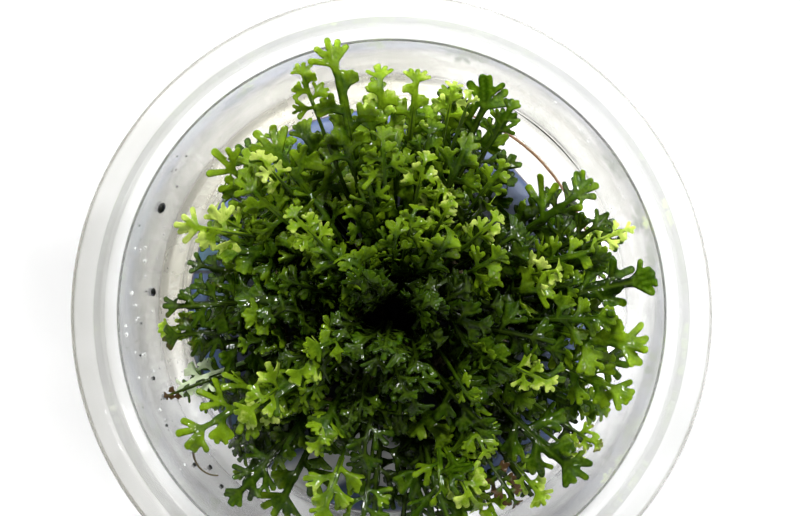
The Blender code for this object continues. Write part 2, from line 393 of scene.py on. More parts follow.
class Mottle:
    """The uneven growth and wear of a surface: soft patches and fine grain."""

    tree: bpy.types.NodeTree | None = None
    NOISES = (("Patch size", 4.0, "Patches", 2.0), ("Grain size", 0.4, "Grain", 3.0))

    @classmethod
    def group(cls) -> bpy.types.NodeTree:
        """Builds the node group once: patches and grain, each a noise eased to 0 to 1."""
        if cls.tree is None:
            cls.tree = bpy.data.node_groups.new("mottle", "ShaderNodeTree")
            nodes, face = Nodes(cls.tree), cls.tree.interface
            for size, usual, label, _ in cls.NOISES:
                socket = face.new_socket(size, in_out="INPUT", socket_type="NodeSocketFloat")
                socket.default_value = usual
                face.new_socket(label, in_out="OUTPUT", socket_type="NodeSocketFloat")
            source = cls.tree.nodes.new("NodeGroupInput")
            target = cls.tree.nodes.new("NodeGroupOutput")
            place = nodes.place()
            for size, _, label, detail in cls.NOISES:
                scale = nodes.add("Math", {0: 1.0 / MM, 1: source.outputs[size]}, operation="DIVIDE")
                inputs = {"Vector": place, "Scale": scale.outputs[0], "Detail": detail}
                noise = nodes.add("TexNoise", inputs).outputs[0]
                nodes.tree.links.new(nodes.between(noise, 0.3, 0.7), target.inputs[label])
        return cls.tree

    @classmethod
    def read(cls, nodes: Nodes, patch: float, grain: float) -> tuple[Socket, Socket]:
        """Places the group in a material, with the sizes of its patches and grain in millimetres."""
        node = nodes.add("Group", {"Patch size": patch, "Grain size": grain}, node_tree=cls.group())
        return node.outputs["Patches"], node.outputs["Grain"]


@dataclass(frozen=True)
class LeafFinish:
    """Wet green fronds, from the deep green of old blades to the pale lime of young tips. The darker tones
    stand partly for painted shade on fronds deep or low in the clump, and the paler ones partly for painted
    light on its lit side.

    In each finish, mottle is the size of its patches and of its grain in millimetres, and relief is
    a bump's strength and its height in millimetres. Here, patchy shifts and scales the patches'
    share of the tone, and scorched and bleached say at what wilt each begins and is full.
    """

    shade: Colour = (0.001, 0.005, 0.0001)
    deep: Colour = (0.006, 0.016, 0.0002)
    green: Colour = (0.029, 0.076, 0.0003)
    lime: Colour = (0.222, 0.352, 0.008)
    pale: Colour = (0.580, 0.660, 0.140)
    vein: Colour = (0.200, 0.340, 0.020)
    stalk: Colour = (0.034, 0.038, 0.006)
    brown: Colour = (0.070, 0.038, 0.014)
    spent: Colour = (0.640, 0.680, 0.520)
    belly: Colour = (0.100, 0.160, 0.020)
    through: Colour = (1.15, 1.6, 0.5)
    stops: tuple[float, ...] = (0.0, 0.3, 0.55, 0.88, 1.0)
    mottle: Pair = (2.6, 0.35)
    patchy: Pair = (-0.95, 0.18)
    tip_tone: float = 0.26
    grain_tone: float = 0.05
    vein_share: float = 0.24
    belly_share: float = 0.1
    scorched: Pair = (0.75, 0.95)
    bleached: Pair = (0.9, 1.2)
    furrow: float = -0.6
    relief: Pair = (0.8, 0.09)
    swell: Pair = (1.0, 0.30)
    roughness: Pair = (0.24, 0.46)
    specular: float = 0.06
    coat: float = 0.5
    coat_roughness: float = 0.04
    glow: float = 0.30

    def material(self) -> Material:
        """Builds the material, which reads tone, tip, vein, age, wilt and under off the mesh."""
        nodes = MaterialNodes("frond_leaf")
        patches, grain = Mottle.read(nodes, *self.mottle)
        tip, wilt = nodes.value("tip"), nodes.value("wilt")
        lift = nodes.times(nodes.sum(patches, self.patchy[0]), self.patchy[1])
        # Tips are paler: partly young growth, partly painted shade on the lower part of each blade.
        paler = nodes.times(tip, self.tip_tone), nodes.times(grain, self.grain_tone)
        tone = nodes.sum(nodes.value("tone"), lift, *paler)
        colours = (self.shade, self.deep, self.green, self.lime, self.pale)
        colour = nodes.ramp(tone, tuple(zip(self.stops, colours)))
        colour = nodes.blend(nodes.times(nodes.value("vein"), self.vein_share), colour, self.vein)
        colour = nodes.blend(nodes.times(nodes.value("under"), self.belly_share), colour, self.belly)
        colour = nodes.blend(nodes.value("age"), colour, self.stalk)
        scorched = nodes.between(nodes.sum(wilt, nodes.times(tip, 0.5), lift), *self.scorched)
        colour = nodes.blend(scorched, colour, self.brown)
        colour = nodes.blend(nodes.between(wilt, *self.bleached), colour, self.spent)
        furrow = nodes.times(nodes.value("vein"), self.furrow)
        normal = nodes.bump(nodes.sum(nodes.times(grain, 0.15), patches, furrow), *self.relief)
        swell = {"Vector": nodes.place(), "Scale": 0.8 / MM, "Detail": 0.0}
        swell = nodes.sum(nodes.add("TexNoise", swell).outputs[0], nodes.times(furrow, 0.3))
        skin = nodes.add(
            "BsdfPrincipled",
            {
                "Base Color": colour,
                "Roughness": nodes.between(grain, 0.0, 1.0, self.roughness),
                "Specular IOR Level": self.specular,
                "Coat Weight": self.coat,
                "Coat Roughness": self.coat_roughness,
                "Coat Normal": nodes.bump(swell, *self.swell),
                "Normal": normal,
            },
        )
        through = nodes.blend(1.0, colour, self.through, mode="MULTIPLY")
        glow = nodes.add("BsdfTranslucent", {"Color": through, "Normal": normal})
        return nodes.shown(nodes.add("MixShader", {0: self.glow, 1: skin.outputs[0], 2: glow.outputs[0]}))


@dataclass(frozen=True)
class ClearPlasticFinish:
    """Thin clear moulded plastic, faintly hazy from handling, with painted shade that greys it on some
    sides.
    """

    tint: Colour = (0.955, 0.960, 0.955)
    # Grey for a faint hazy film and for painted shade.
    shaded_haze: Colour = (0.445, 0.435, 0.382)
    shade: Colour = (0.985, 0.985, 0.985)
    mottle: Pair = (11.0, 0.9)
    uneven: float = 0.12
    relief: Pair = (0.05, 0.05)
    clear: float = 0.94
    roughness: Pair = (0.04, 0.11)
    frost: float = 0.10
    refraction: float = 1.28

    def material(self) -> Material:
        """Builds the material, which reads frost and mist off the mesh."""
        nodes = MaterialNodes("clear_plastic")
        patches, grain = Mottle.read(nodes, *self.mottle)
        rough = nodes.between(nodes.sum(patches, nodes.times(grain, 0.2)), 0.2, 1.1, self.roughness)
        rough = nodes.sum(rough, nodes.times(nodes.value("mist"), self.frost))
        # frost is a faint hazy film plus painted shade, and this grey stands for both.
        haze_and_shade = nodes.sum(nodes.value("frost"), nodes.times(nodes.sum(patches, -0.5), self.uneven))
        wall = nodes.add(
            "BsdfPrincipled",
            {
                "Base Color": nodes.blend(haze_and_shade, self.tint, self.shaded_haze),
                "Roughness": rough,
                "IOR": self.refraction,
                "Transmission Weight": self.clear,
                "Normal": nodes.bump(nodes.sum(patches, nodes.times(grain, 0.1)), *self.relief),
            },
        )
        return nodes.shown_clear(wall, self.shade)


@dataclass(frozen=True)
class BeadFinish:
    """A bead of water: clear, or tinted near-black as painted shade, for the fern's shade that it turns
    towards the eye.
    """

    name: str
    tint: Colour
    clear: float
    white: Colour = (0.90, 0.92, 0.90)
    mottle: Pair = (1.2, 0.2)
    roughness: float = 0.03
    refraction: float = 1.33

    def material(self) -> Material:
        """Builds the material."""
        nodes = MaterialNodes(self.name)
        patches = nodes.times(Mottle.read(nodes, *self.mottle)[0], 0.4 * self.clear)
        bead = nodes.add(
            "BsdfPrincipled",
            {
                "Base Color": nodes.blend(patches, self.tint, self.white),
                "Roughness": self.roughness,
                "IOR": self.refraction,
                "Transmission Weight": self.clear,
            },
        )
        return nodes.shown_clear(bead, self.white)


@dataclass(frozen=True)
class GelFinish:
    """Dull slate-blue gel with an amber edge where it thins out, painted shade under the clump and in its
    cracks, and a painted pale reflection to the south.
    """

    blue: Colour = (0.040, 0.066, 0.138)
    dark: Colour = (0.022, 0.034, 0.068)
    # Painted shade in the clefts between the cells.
    cleft_shade: Colour = (0.004, 0.006, 0.010)
    # Near-black painted shade under the clump.
    middle: Colour = (0.005, 0.008, 0.010)
    # Painted pale reflection to the south.
    pale: Colour = (0.520, 0.530, 0.500)
    amber: Colour = (0.120, 0.060, 0.022)
    mottle: Pair = (9.0, 0.8)
    cells: float = 0.14
    gap: Pair = (0.015, 0.07)
    roughness: Pair = (0.38, 0.55)
    relief: Pair = (0.4, 0.25)

    def material(self) -> Material:
        """Builds the material, which reads edge and cracked off the mesh, and also the painted shade under
        the clump and the painted reflection to the south. Cells of uneven size give the cracked side its
        clefts, darkened as painted shade, and its lighter and darker faces."""
        nodes = MaterialNodes("nutrient_gel")
        patches, grain = Mottle.read(nodes, *self.mottle)
        cracked = nodes.value("cracked")
        size = {"Vector": nodes.place(), "Scale": self.cells / MM, "Randomness": 0.9}
        gap = nodes.add("TexVoronoi", size, feature="DISTANCE_TO_EDGE").outputs["Distance"]
        face = nodes.add("TexVoronoi", size).outputs["Color"]
        colour = nodes.blend(nodes.times(patches, 0.22), self.blue, self.dark)
        colour = nodes.blend(nodes.times(cracked, 0.35), colour, face, mode="SOFT_LIGHT")
        # Painted shade: the clefts between the cells go dark.
        cleft_shade = nodes.times(cracked, nodes.between(gap, *self.gap, (1.0, 0.0)))
        colour = nodes.blend(cleft_shade, colour, self.cleft_shade)
        # Painted shade: near-black under the clump.
        colour = nodes.blend(nodes.value("matted"), colour, self.middle)
        # Painted reflection: pale to the south.
        bare = nodes.between(nodes.sum(nodes.value("bare"), nodes.times(patches, 0.2)), 0.3, 1.1)
        colour = nodes.blend(bare, colour, self.pale)
        colour = nodes.blend(nodes.value("edge"), colour, self.amber)
        skin = nodes.add(
            "BsdfPrincipled",
            {
                "Base Color": colour,
                "Roughness": nodes.between(grain, 0.0, 1.0, self.roughness),
                "Normal": nodes.bump(nodes.sum(patches, nodes.times(grain, 0.1)), *self.relief),
            },
        )
        return nodes.shown(skin)


@dataclass(frozen=True)
class RhizomeFinish:
    """Creeping stems in dark brown scales, green where they are young, with wiry black roots."""

    bark: Colour = (0.060, 0.036, 0.014)
    scale: Colour = (0.150, 0.100, 0.040)
    young: Colour = (0.080, 0.110, 0.020)
    wiry: Colour = (0.035, 0.020, 0.010)
    mottle: Pair = (3.0, 0.3)
    roughness: Pair = (0.45, 0.75)
    relief: Pair = (0.6, 0.08)

    def material(self) -> Material:
        """Builds the material, which reads scale and root off the mesh."""
        nodes = MaterialNodes("rhizome_bark")
        patches, grain = Mottle.read(nodes, *self.mottle)
        colour = nodes.blend(nodes.value("scale"), self.bark, self.scale)
        colour = nodes.blend(nodes.times(patches, 0.4), colour, self.young)
        colour = nodes.blend(nodes.value("root"), colour, self.wiry)
        skin = nodes.add(
            "BsdfPrincipled",
            {
                "Base Color": colour,
                "Roughness": nodes.between(grain, 0.0, 1.0, self.roughness),
                "Normal": nodes.bump(grain, *self.relief),
            },
        )
        return nodes.shown(skin)


@dataclass(frozen=True)
class FloorFinish:
    """A plain pale sheet under the cup."""

    white: Colour = (0.86, 0.86, 0.86)
    grey: Colour = (0.84, 0.84, 0.845)
    mottle: Pair = (60.0, 3.0)

    def material(self) -> Material:
        """Builds the material."""
        nodes = MaterialNodes("pale_floor")
        patches = Mottle.read(nodes, *self.mottle)[0]
        colour = nodes.blend(nodes.times(patches, 0.2), self.white, self.grey)
        skin = nodes.add("BsdfPrincipled", {"Base Color": colour, "Roughness": 0.7})
        return nodes.shown(skin)


@dataclass(frozen=True)
class Habit:
    """How a blade is cut. Lengths are shares of the blade's length, and angles are in degrees.

    Attributes:
        pinnae: side fans, counted on both sides together.
        first: place of the lowest fan.
        last: place of the highest side fan.
        reach: length of the longest fan.
        slant: angles of the lowest and the highest fan to the rachis.
        fork: share of a fan's length at which it forks.
        lobes: lobes of a side fan.
        spread: angle between the outer lobes of a fan.
        lobe: half the width of a lobe.
        stalk: half the width of a fan's foot.
        crest: lobes of the fan at the tip.
        crest_spread: angle between its outer lobes.
        notch: share of the lobes that end in a fork of their own.
        rachis: half the width of the rachis at both ends.
    """

    pinnae: int = 5
    first: float = 0.12
    last: float = 0.60
    reach: float = 0.42
    slant: Pair = (70.0, 38.0)
    fork: float = 0.40
    lobes: int = 2
    spread: float = 46.0
    lobe: float = 0.032
    stalk: float = 0.028
    crest: int = 3
    crest_spread: float = 96.0
    notch: float = 0.6
    rachis: Pair = (0.030, 0.044)


class Cut(Enum):
    """The ways that this fern's blades are cut."""

    BROAD = Habit(pinnae=3, first=0.17, last=0.46, reach=0.47, slant=(80.0, 56.0), fork=0.33,
                  lobes=4, spread=98.0, lobe=0.041, stalk=0.032, crest=5, crest_spread=116.0,
                  notch=0.1)
    ANTLER = Habit(pinnae=4, first=0.14, last=0.52, reach=0.44, slant=(78.0, 52.0), fork=0.34,
                   lobes=3, spread=74.0, lobe=0.040, stalk=0.025, crest_spread=84.0, notch=0.4)
    FEATHERED = Habit(pinnae=6, first=0.08, last=0.64, reach=0.33, slant=(76.0, 48.0), fork=0.34,
                      lobes=3, spread=68.0, lobe=0.031, stalk=0.021, crest_spread=76.0, notch=0.1)
    PARSLEY = Habit(pinnae=4, first=0.13, last=0.54, reach=0.41, slant=(78.0, 52.0), fork=0.32,
                    lobes=3, spread=82.0, lobe=0.038, stalk=0.026, crest=4, crest_spread=104.0,
                    notch=0.35)
    FLAT = Habit(pinnae=4, first=0.15, last=0.54, reach=0.44, slant=(66.0, 44.0), fork=0.42,
                 lobes=4, spread=84.0, lobe=0.034, stalk=0.042, crest=5, crest_spread=96.0, notch=0.1,
                 rachis=(0.040, 0.066))
    TALL = Habit(pinnae=5, first=0.04, last=0.62, reach=0.28, slant=(62.0, 46.0), fork=0.46,
                 lobes=4, spread=96.0, lobe=0.026, stalk=0.030, crest=5, crest_spread=112.0, notch=0.0,
                 rachis=(0.034, 0.040))
    PALM = Habit(pinnae=4, first=0.24, last=0.58, reach=0.40, slant=(66.0, 44.0), fork=0.34,
                 lobes=2, spread=46.0, lobe=0.036, stalk=0.036, crest=4, crest_spread=78.0, notch=0.1,
                 rachis=(0.050, 0.085))
    YOUNG = Habit(pinnae=3, first=0.2, last=0.5, reach=0.42, slant=(74.0, 56.0), fork=0.36, lobes=3,
                  spread=86.0, lobe=0.046, stalk=0.034, crest_spread=92.0, notch=0.2)


class BladePlan:
    """A flat blade as tapered limbs that branch off a rachis along +X, in millimetres.

    Each limb is one row: its start and end, half its width at both, how near a tip it is at both,
    from 0 to 1, how high it stands over the blade at both, and the number of its fan, which is 0
    for the rachis. Widths are given for a blade of the usual length, and grow more slowly than the
    blade does.

    Attributes:
        USUAL: a usual blade's length.
        SOFT: how softly the lobes' heights pass into each other.
        JOINT: how softly the fans join the rachis.
        PAST_LAST: how far past the last side fan the crest starts, as a share of the length.
        CREST: the crest's length as a share of what is left there.
        TILT, TWIST, FOLD, BUCKLE: mean and spread of how steeply a whole fan rises, how much more it
            does to one side, how much to both, and how much a lobe does beside that.
        SIZES: range of the lobes' sizes.
        PARTING: angles of the last fork of a lobe to its middle, in degrees.
        PARTED: lengths of its prongs, as shares of the lobe's.
    """

    USUAL = 11.0
    SOFT = 0.16
    JOINT = 0.05
    PAST_LAST = 0.07
    CREST = 0.9984
    TILT = (0.0, 0.2)
    TWIST = (0.0, 0.3)
    FOLD = (-0.1, 0.2)
    BUCKLE = (0.0, 0.12)
    SIZES = (0.88, 1.1)
    PARTING = (27, 37)
    PARTED = (0.4, 0.5)

    def __init__(self, habit: Habit, length: float, seed: int) -> None:
        """Grows the limbs.

        Args:
            habit: how the blade is cut.
            length: the blade's length.
            seed: picks this blade's own small differences.
        """
        self.habit = habit
        self.length = length
        self.random = np.random.default_rng(seed)
        self.rows: list[tuple[float, ...]] = []
        self.fans = 0
        self.grow()
        self.limbs = np.array(self.rows)
        self.member = self.limbs[:, 10:] == np.arange(self.fans + 1)
        self.web = self.JOINT + 0.002 * length

    def limb(self, start: np.ndarray, run: tuple[float, float, float], wide: Pair, tips: Pair) -> np.ndarray:
        """Adds one limb.

        Args:
            start: where it starts, with its height over the blade.
            run: its direction in degrees, its length and how steeply it rises.
            wide: half its width at both ends, in shares of a usual blade's length.
            tips: how near a tip it is at both ends.

        Returns:
            Where it ends, with its height.
        """
        heading, reach, slope = run
        angle = math.radians(heading)
        end = start + reach * np.array([math.cos(angle), math.sin(angle), slope])
        full = self.length**0.75 * self.USUAL**0.25
        widths = (wide[0] * full, wide[1] * full)
        self.rows.append((*start[:2], *end[:2], *widths, *tips, start[2], end[2], self.fans))
        return end

    def fan(self, along: float, heading: float, reach: float, cut: tuple[float, int, float]) -> None:
        """Adds a wedge-shaped fan: a stalk that forks into lobes, many of which fork again.

        Args:
            along: where its stalk leaves the rachis.
            heading: its direction in degrees.
            reach: its length.
            cut: the share of its length at which it forks, how many lobes it has, and the angle
                between the outer ones.
        """
        fork, lobes, opening = cut
        habit, random = self.habit, self.random
        self.fans += 1
        tilt, twist, fold = (random.normal(*spread) for spread in (self.TILT, self.TWIST, self.FOLD))
        foot = np.array([along, 0.0, 0.0])
        wide = (habit.stalk, habit.stalk * 1.3)
        parting = self.limb(foot, (heading, reach * fork, tilt), wide, (0.05, 0.3))
        for place in np.linspace(-1.0, 1.0, lobes):
            turn = heading + place * opening / 2 + random.normal(0.0, 3.0)
            size = reach * (1.0 - fork) * (1.08 - 0.14 * abs(place)) * random.uniform(*self.SIZES)
            slope = tilt + twist * place + fold * abs(place) + random.normal(*self.BUCKLE)
            if random.random() < habit.notch:
                wide = (habit.stalk, habit.lobe * 0.8)
                end = self.limb(parting, (turn, size * 0.5, slope), wide, (0.3, 0.7))
                part = random.uniform(*self.PARTING)
                for side in (-1.0, 1.0):
                    wide = (habit.lobe * 0.66, habit.lobe * 0.86)
                    steep = slope + random.normal(-0.1, 0.2)
                    run = (turn + side * part, size * random.uniform(*self.PARTED), steep)
                    self.limb(end, run, wide, (0.7, 1.0))
            else:
                wide = (habit.stalk * 0.85, habit.lobe * 1.1)
                self.limb(parting, (turn, size * 0.92, slope), wide, (0.3, 1.0))

    def grow(self) -> None:
        """Adds the rachis, the side fans by turns right and left, and the fan at the tip."""
        habit, length, random = self.habit, self.length, self.random
        side = 1.0 if random.random() < 0.5 else -1.0
        crest = (habit.last + self.PAST_LAST) * length
        self.limb(np.zeros(3), (0.0, crest, 0.0), habit.rachis, (0.0, 0.25))
        for place in np.linspace(habit.first, habit.last, habit.pinnae):
            middle = (place - habit.first) / (habit.last - habit.first)
            share = 1.0 - 0.38 * middle**1.5 - 0.14 * (1.0 - middle) ** 3
            reach = habit.reach * length * share * random.uniform(0.9, 1.08)
            along = (place + random.uniform(-0.015, 0.015)) * length
            low, high = habit.slant
            slant = side * (low + (high - low) * middle + random.uniform(-5.0, 5.0))
            self.fan(along, slant, reach, (habit.fork, habit.lobes, habit.spread))
            side = -side
        reach = self.CREST * (length - crest)
        self.fan(crest, random.uniform(-7, 7), reach, (0.4, habit.crest, habit.crest_spread))

    def read(self, points: np.ndarray) -> tuple[np.ndarray, np.ndarray, np.ndarray, np.ndarray]:
        """Reads the blade at flat points.

        A limb's field is the distance to its line less its half-width there. Several fields join in
        a soft web as -k log of the sum of exp(-field / k): first the limbs of each fan, with a wide
        web, and then the fans and the rachis, with a narrow one.

        Args:
            points: flat points, (n, 2).

        Returns:
            The field, negative inside; how near a tip each point is; the distance to a vein; and
            how high the lobe there stands.
        """
        limbs = self.limbs
        start, run = limbs[:, 0:2], limbs[:, 2:4] - limbs[:, 0:2]
        offset = points[:, None] - start[None]
        share = np.clip((offset * run).sum(-1) / (run * run).sum(-1), 0.0, 1.0)
        away = np.linalg.norm(offset - share[..., None] * run, axis=-1)
        width = limbs[:, 4] + (limbs[:, 5] - limbs[:, 4]) * share
        each = away - width
        nearest = each.min(axis=1, keepdims=True)
        weight = np.exp(-(each - nearest) / self.web)
        fans = nearest - self.web * np.log(weight @ self.member + 1e-30)
        closest = fans.min(axis=1, keepdims=True)
        level = closest[:, 0] - self.JOINT * np.log(np.exp(-(fans - closest) / self.JOINT).sum(axis=1))
        tip = limbs[:, 6] + (limbs[:, 7] - limbs[:, 6]) * share
        tip = (weight * tip).sum(axis=1) / weight.sum(axis=1)
        soft = np.exp(-(each - nearest) / self.SOFT)
        rise = limbs[:, 8] + (limbs[:, 9] - limbs[:, 8]) * share
        rise = (soft * rise).sum(axis=1) / soft.sum(axis=1)
        return level, tip, away.min(axis=1), rise


@dataclass
class FlatBlade:
    """A flat sheet of triangles that fills a blade's outline.

    Attributes:
        points: flat corners, (n, 2).
        faces: triangles, anticlockwise.
        rim: which corners lie on the outline.
        inset: distance from the outline.
        tip: how near a tip each corner is.
        vein: distance to a vein.
        rise: height over the blade.
    """

    points: np.ndarray
    faces: np.ndarray
    rim: np.ndarray
    inset: np.ndarray
    tip: np.ndarray
    vein: np.ndarray
    rise: np.ndarray

    ROW = 0.866

    @classmethod
    def cut(cls, plan: BladePlan, spacing: float) -> "FlatBlade":
        """Cuts a grid of near equal-sided triangles along the plan's outline.

        A triangle with one corner inside keeps its inner tip, and one with two keeps the rest. The
        cut on an edge is where the field, taken as straight along it, is zero.

        Args:
            plan: the blade's limbs.
            spacing: the grid's spacing.

        Returns:
            The sheet.
        """
        grid, triangles = cls.lattice(plan, spacing)
        level = plan.read(grid)[0]
        inside = level < 0.0
        count = inside[triangles].sum(axis=1)
        mixed = triangles[(count == 1) | (count == 2)]
        single = inside[mixed].sum(axis=1) == 1
        odd = np.argmax(inside[mixed] == single[:, None], axis=1)
        mixed = np.take_along_axis(mixed, (odd[:, None] + np.arange(3)) % 3, axis=1)
        ends = np.sort(mixed[:, [0, 1, 0, 2]].reshape(-1, 2), axis=1)
        ends, which = np.unique(ends, axis=0, return_inverse=True)
        low, high = ends.T
        share = np.clip(level[low] / (level[low] - level[high]), 0.1, 0.9)[:, None]
        rim_points = grid[low] + share * (grid[high] - grid[low])
        cuts = len(grid) + which.reshape(-1, 2)
        tips = np.column_stack([mixed[:, 0], cuts])[single]
        rest = np.column_stack([cuts[:, 0], mixed[:, 1], mixed[:, 2]])[~single]
        more = np.column_stack([cuts[:, 0], mixed[:, 2], cuts[:, 1]])[~single]
        faces = np.concatenate([triangles[count == 3], tips, rest, more])
        used, faces = np.unique(faces, return_inverse=True)
        points = np.concatenate([grid, rim_points])[used]
        level, tip, vein, rise = plan.read(points)
        rim = used >= len(grid)
        inset = np.where(rim, 0.0, np.maximum(-level, 0.02))
        return cls(points, faces.reshape(-1, 3), rim, inset, tip, vein, rise)

    @classmethod
    def lattice(cls, plan: BladePlan, spacing: float) -> tuple[np.ndarray, np.ndarray]:
        """A grid over the plan whose odd rows are shifted by half a step.

        Args:
            plan: the blade's limbs.
            spacing: the distance between neighbours in a row.

        Returns:
            The grid's points and its triangles.
        """
        ends = plan.limbs[:, :4].reshape(-1, 2)
        margin = plan.limbs[:, 4:6].max() + plan.web * 4.0
        low, high = ends.min(axis=0) - margin, ends.max(axis=0) + margin
        columns = int((high[0] - low[0]) / spacing) + 2
        rows = int((high[1] - low[1]) / (spacing * cls.ROW)) + 2
        row, column = np.meshgrid(np.arange(rows), np.arange(columns), indexing="ij")
        across = low[0] + spacing * (column + 0.5 * (row % 2))
        grid = np.stack([across, low[1] + spacing * cls.ROW * row], axis=-1).reshape(-1, 2)
        here = (row * columns + column)[:-1, :-1]
        right, above, beyond = here + 1, here + columns, here + columns + 1
        even = (row % 2 == 0)[:-1, :-1, None]
        first = np.where(even, np.stack([here, right, above], -1), np.stack([here, right, beyond], -1))
        second = np.where(even, np.stack([right, beyond, above], -1), np.stack([here, beyond, above], -1))
        return grid, np.concatenate([first.reshape(-1, 3), second.reshape(-1, 3)])


@dataclass(frozen=True)
class Frond:
    """One leaf with its petiole.

    Attributes:
        azimuth: the direction that it grows in, in degrees.
        foot: radius and height where its petiole leaves the rhizome.
        bend: the control point of its spine, as radius and height.
        tip: radius and height of its tip.
        blade: the blade's length.
        roll: turn of the blade about its spine, in degrees.
        cut: how the blade is cut.
        seed: picks its own small differences.
        sway: how far its tip lies to the side.
        cup: angle through which each side bends down, in radians.
        curl: angle through which the end bends down, in radians.
        tone: from 0, deep green, to 1, pale lime; partly the frond's own colour, partly painted shade and
            light for where it lies in the clump.
        wilt: from 0, fresh, over brown tips, to above 1, bleached.
        COARSE: spacing of the grid that the blade is cut from.
        ROLL_START: share of the spine past which the blade turns.
        THICKNESS: half the blade's thickness, away from its edge.
        EDGE: width of its tapered edge.
        VEIN: width of the furrow over a vein.
        HALF: half the blade's width, as a share of its length.
        STRAIGHT: share of its length that doesn't curl.
        WAVES: length and height of the ruffles, as shares of its length.
        STALK: radii of the petiole's foot, of its top and of the midrib's end.
        MIDRIB: how far the midrib goes, as a share of the blade's length.
        STALK_TONE: the palest that a petiole gets, and how much deeper it is than the blade, partly as
            painted shade.
        OVERRUN: how far the spine's samples run past the tip.
    """

    azimuth: float
    foot: Pair
    bend: Pair
    tip: Pair
    blade: float
    roll: float
    cut: Cut
    seed: int
    sway: float = 0.0
    cup: float = 0.3
    curl: float = 0.4
    tone: float = 0.5
    wilt: float = 0.0

    COARSE = 0.37
    ROLL_START = 0.35
    THICKNESS = 0.085
    EDGE = 0.30
    VEIN = 0.17
    HALF = 0.42
    STRAIGHT = 0.45
    WAVES = ((0.34, 0.045), (0.16, 0.012))
    STALK = (0.50, 0.30, 0.08)
    MIDRIB = 0.6
    STALK_TONE = (0.54, 0.05)
    STALK_RINGS = 26
    STALK_SIDES = 7
    OVERRUN = 1.06
    SAMPLES = 72

    def spine(self) -> tuple[np.ndarray, np.ndarray]:
        """Works out the spine: (1 - t)^2 foot + 2 t (1 - t) bend + t^2 tip, with the sway times t^2,
        and the blade's directions along it.

        Returns:
            The length along the spine, and for each sample its place, tangent, side and normal.
        """
        t = np.linspace(0.0, self.OVERRUN, self.SAMPLES)[:, None]
        outward, across = compass(self.azimuth)
        foot, bend, tip = (np.array(point) for point in (self.foot, self.bend, self.tip))
        flat = (1 - t) ** 2 * foot + 2 * t * (1 - t) * bend + t**2 * tip
        lean = self.sway * (t**2 - 0.35 * np.sin(math.pi * t) ** 2)
        place = flat[:, :1] * outward + flat[:, 1:] * UP + lean * across
        steps = np.linalg.norm(np.diff(place, axis=0), axis=1)
        length = np.concatenate([[0.0], np.cumsum(steps)])
        tangent = unit(np.gradient(place, axis=0))
        side = unit(across - (tangent @ across)[:, None] * tangent)
        normal = np.cross(tangent, side)
        begin = self.ROLL_START * length[-1]
        turn = math.radians(self.roll) * np.clip(length / begin - 1.0, 0.0, 1.0)[:, None]
        rolled = side * np.cos(turn) + normal * np.sin(turn)
        normal = normal * np.cos(turn) - side * np.sin(turn)
        return length, np.stack([place, tangent, rolled, normal], axis=1)

    def petiole(self, length: np.ndarray) -> float:
        """The length of the spine before the blade starts, from the lengths along its samples."""
        whole = np.interp(1.0 / self.OVERRUN, np.linspace(0, 1, self.SAMPLES), length)
        return float(whole) - self.blade

    def placed(self, along: np.ndarray, across: np.ndarray, above: np.ndarray) -> np.ndarray:
        """Carries points of the flat frond to their place.

        The sides bend down over a cylinder, and so does the end past the blade's middle: a flat
        distance d goes to sin(a) / k along and (1 - cos a) / k down, with a = k d. Sine waves along
        the blade, which grow towards its sides, ruffle it.

        Args:
            along: distance from the blade's foot, negative on the petiole.
            across: distance from the rachis.
            above: height over the blade's middle surface.

        Returns:
            The points, (n, 3).
        """
        length, frame = self.spine()
        half = self.HALF * self.blade
        bend = self.cup / half
        angle = bend * across
        down = (1.0 - np.cos(angle)) / bend
        across = np.sin(angle) / bend
        start = self.STRAIGHT * self.blade
        curve = self.curl / (self.blade - start)
        past = np.maximum(along - start, 0.0)
        down = down + (1.0 - np.cos(curve * past)) / curve
        along = np.minimum(along, start) + np.sin(curve * past) / curve
        phase = TURN * np.array([wander(self.seed, salt) for salt in (5, 6, 7)])
        phases = np.where(across > 0.0, phase[0], phase[1]), phase[2]
        above = above - down
        for (long, high), shift in zip(self.WAVES, phases):
            wave = np.sin(TURN * along / (long * self.blade) + shift)
            above = above + np.abs(across) / half * wave * high * self.blade
        spot = np.clip(self.petiole(length) + along, 0.0, length[-1])
        axes = np.stack([np.interp(spot, length, part) for part in frame.reshape(-1, 12).T], axis=1)
        place, _, side, normal = axes.reshape(-1, 4, 3).transpose(1, 0, 2)
        return place + across[:, None] * unit(side) + above[:, None] * unit(normal)

    def blade_shell(self) -> Shell:
        """The blade: a lens-shaped skin over the flat sheet, plump between its veins.

        Half its thickness is T sqrt(1 - (1 - d / E)^2) at a distance d from the edge, up to E. Its
        triangles are coarser on a deeply shaded blade.
        """
        shaded = 1.0 + 1.2 * max(0.0, 0.30 - self.tone)
        spacing = self.COARSE * shaded * (self.blade / BladePlan.USUAL) ** 0.5
        sheet = FlatBlade.cut(BladePlan(self.cut.value, self.blade, self.seed), spacing)
        share = np.clip(sheet.inset / self.EDGE, 0.0, 1.0)
        half = self.THICKNESS * np.sqrt(1.0 - (1.0 - share) ** 2)
        vein = np.exp(-((sheet.vein / self.VEIN) ** 2))
        top = half * (1.0 - 0.5 * vein)
        inner = ~sheet.rim
        lower = np.where(inner, len(sheet.points) + np.cumsum(inner) - 1, np.arange(len(inner)))
        flat = np.concatenate([sheet.points, sheet.points[inner]])
        above = np.concatenate([top + sheet.rise, sheet.rise[inner] - half[inner]])
        faces = np.concatenate([sheet.faces, lower[sheet.faces[:, ::-1]]])
        shell = Shell(self.placed(flat[:, 0], flat[:, 1], above), faces)
        under = np.arange(len(above)) >= len(sheet.points)
        tip = np.concatenate([sheet.tip, sheet.tip[inner]])
        vein = np.concatenate([vein, vein[inner]])
        return shell.painted(tone=self.tone, wilt=self.wilt, tip=tip, vein=vein, under=under, age=0.0)

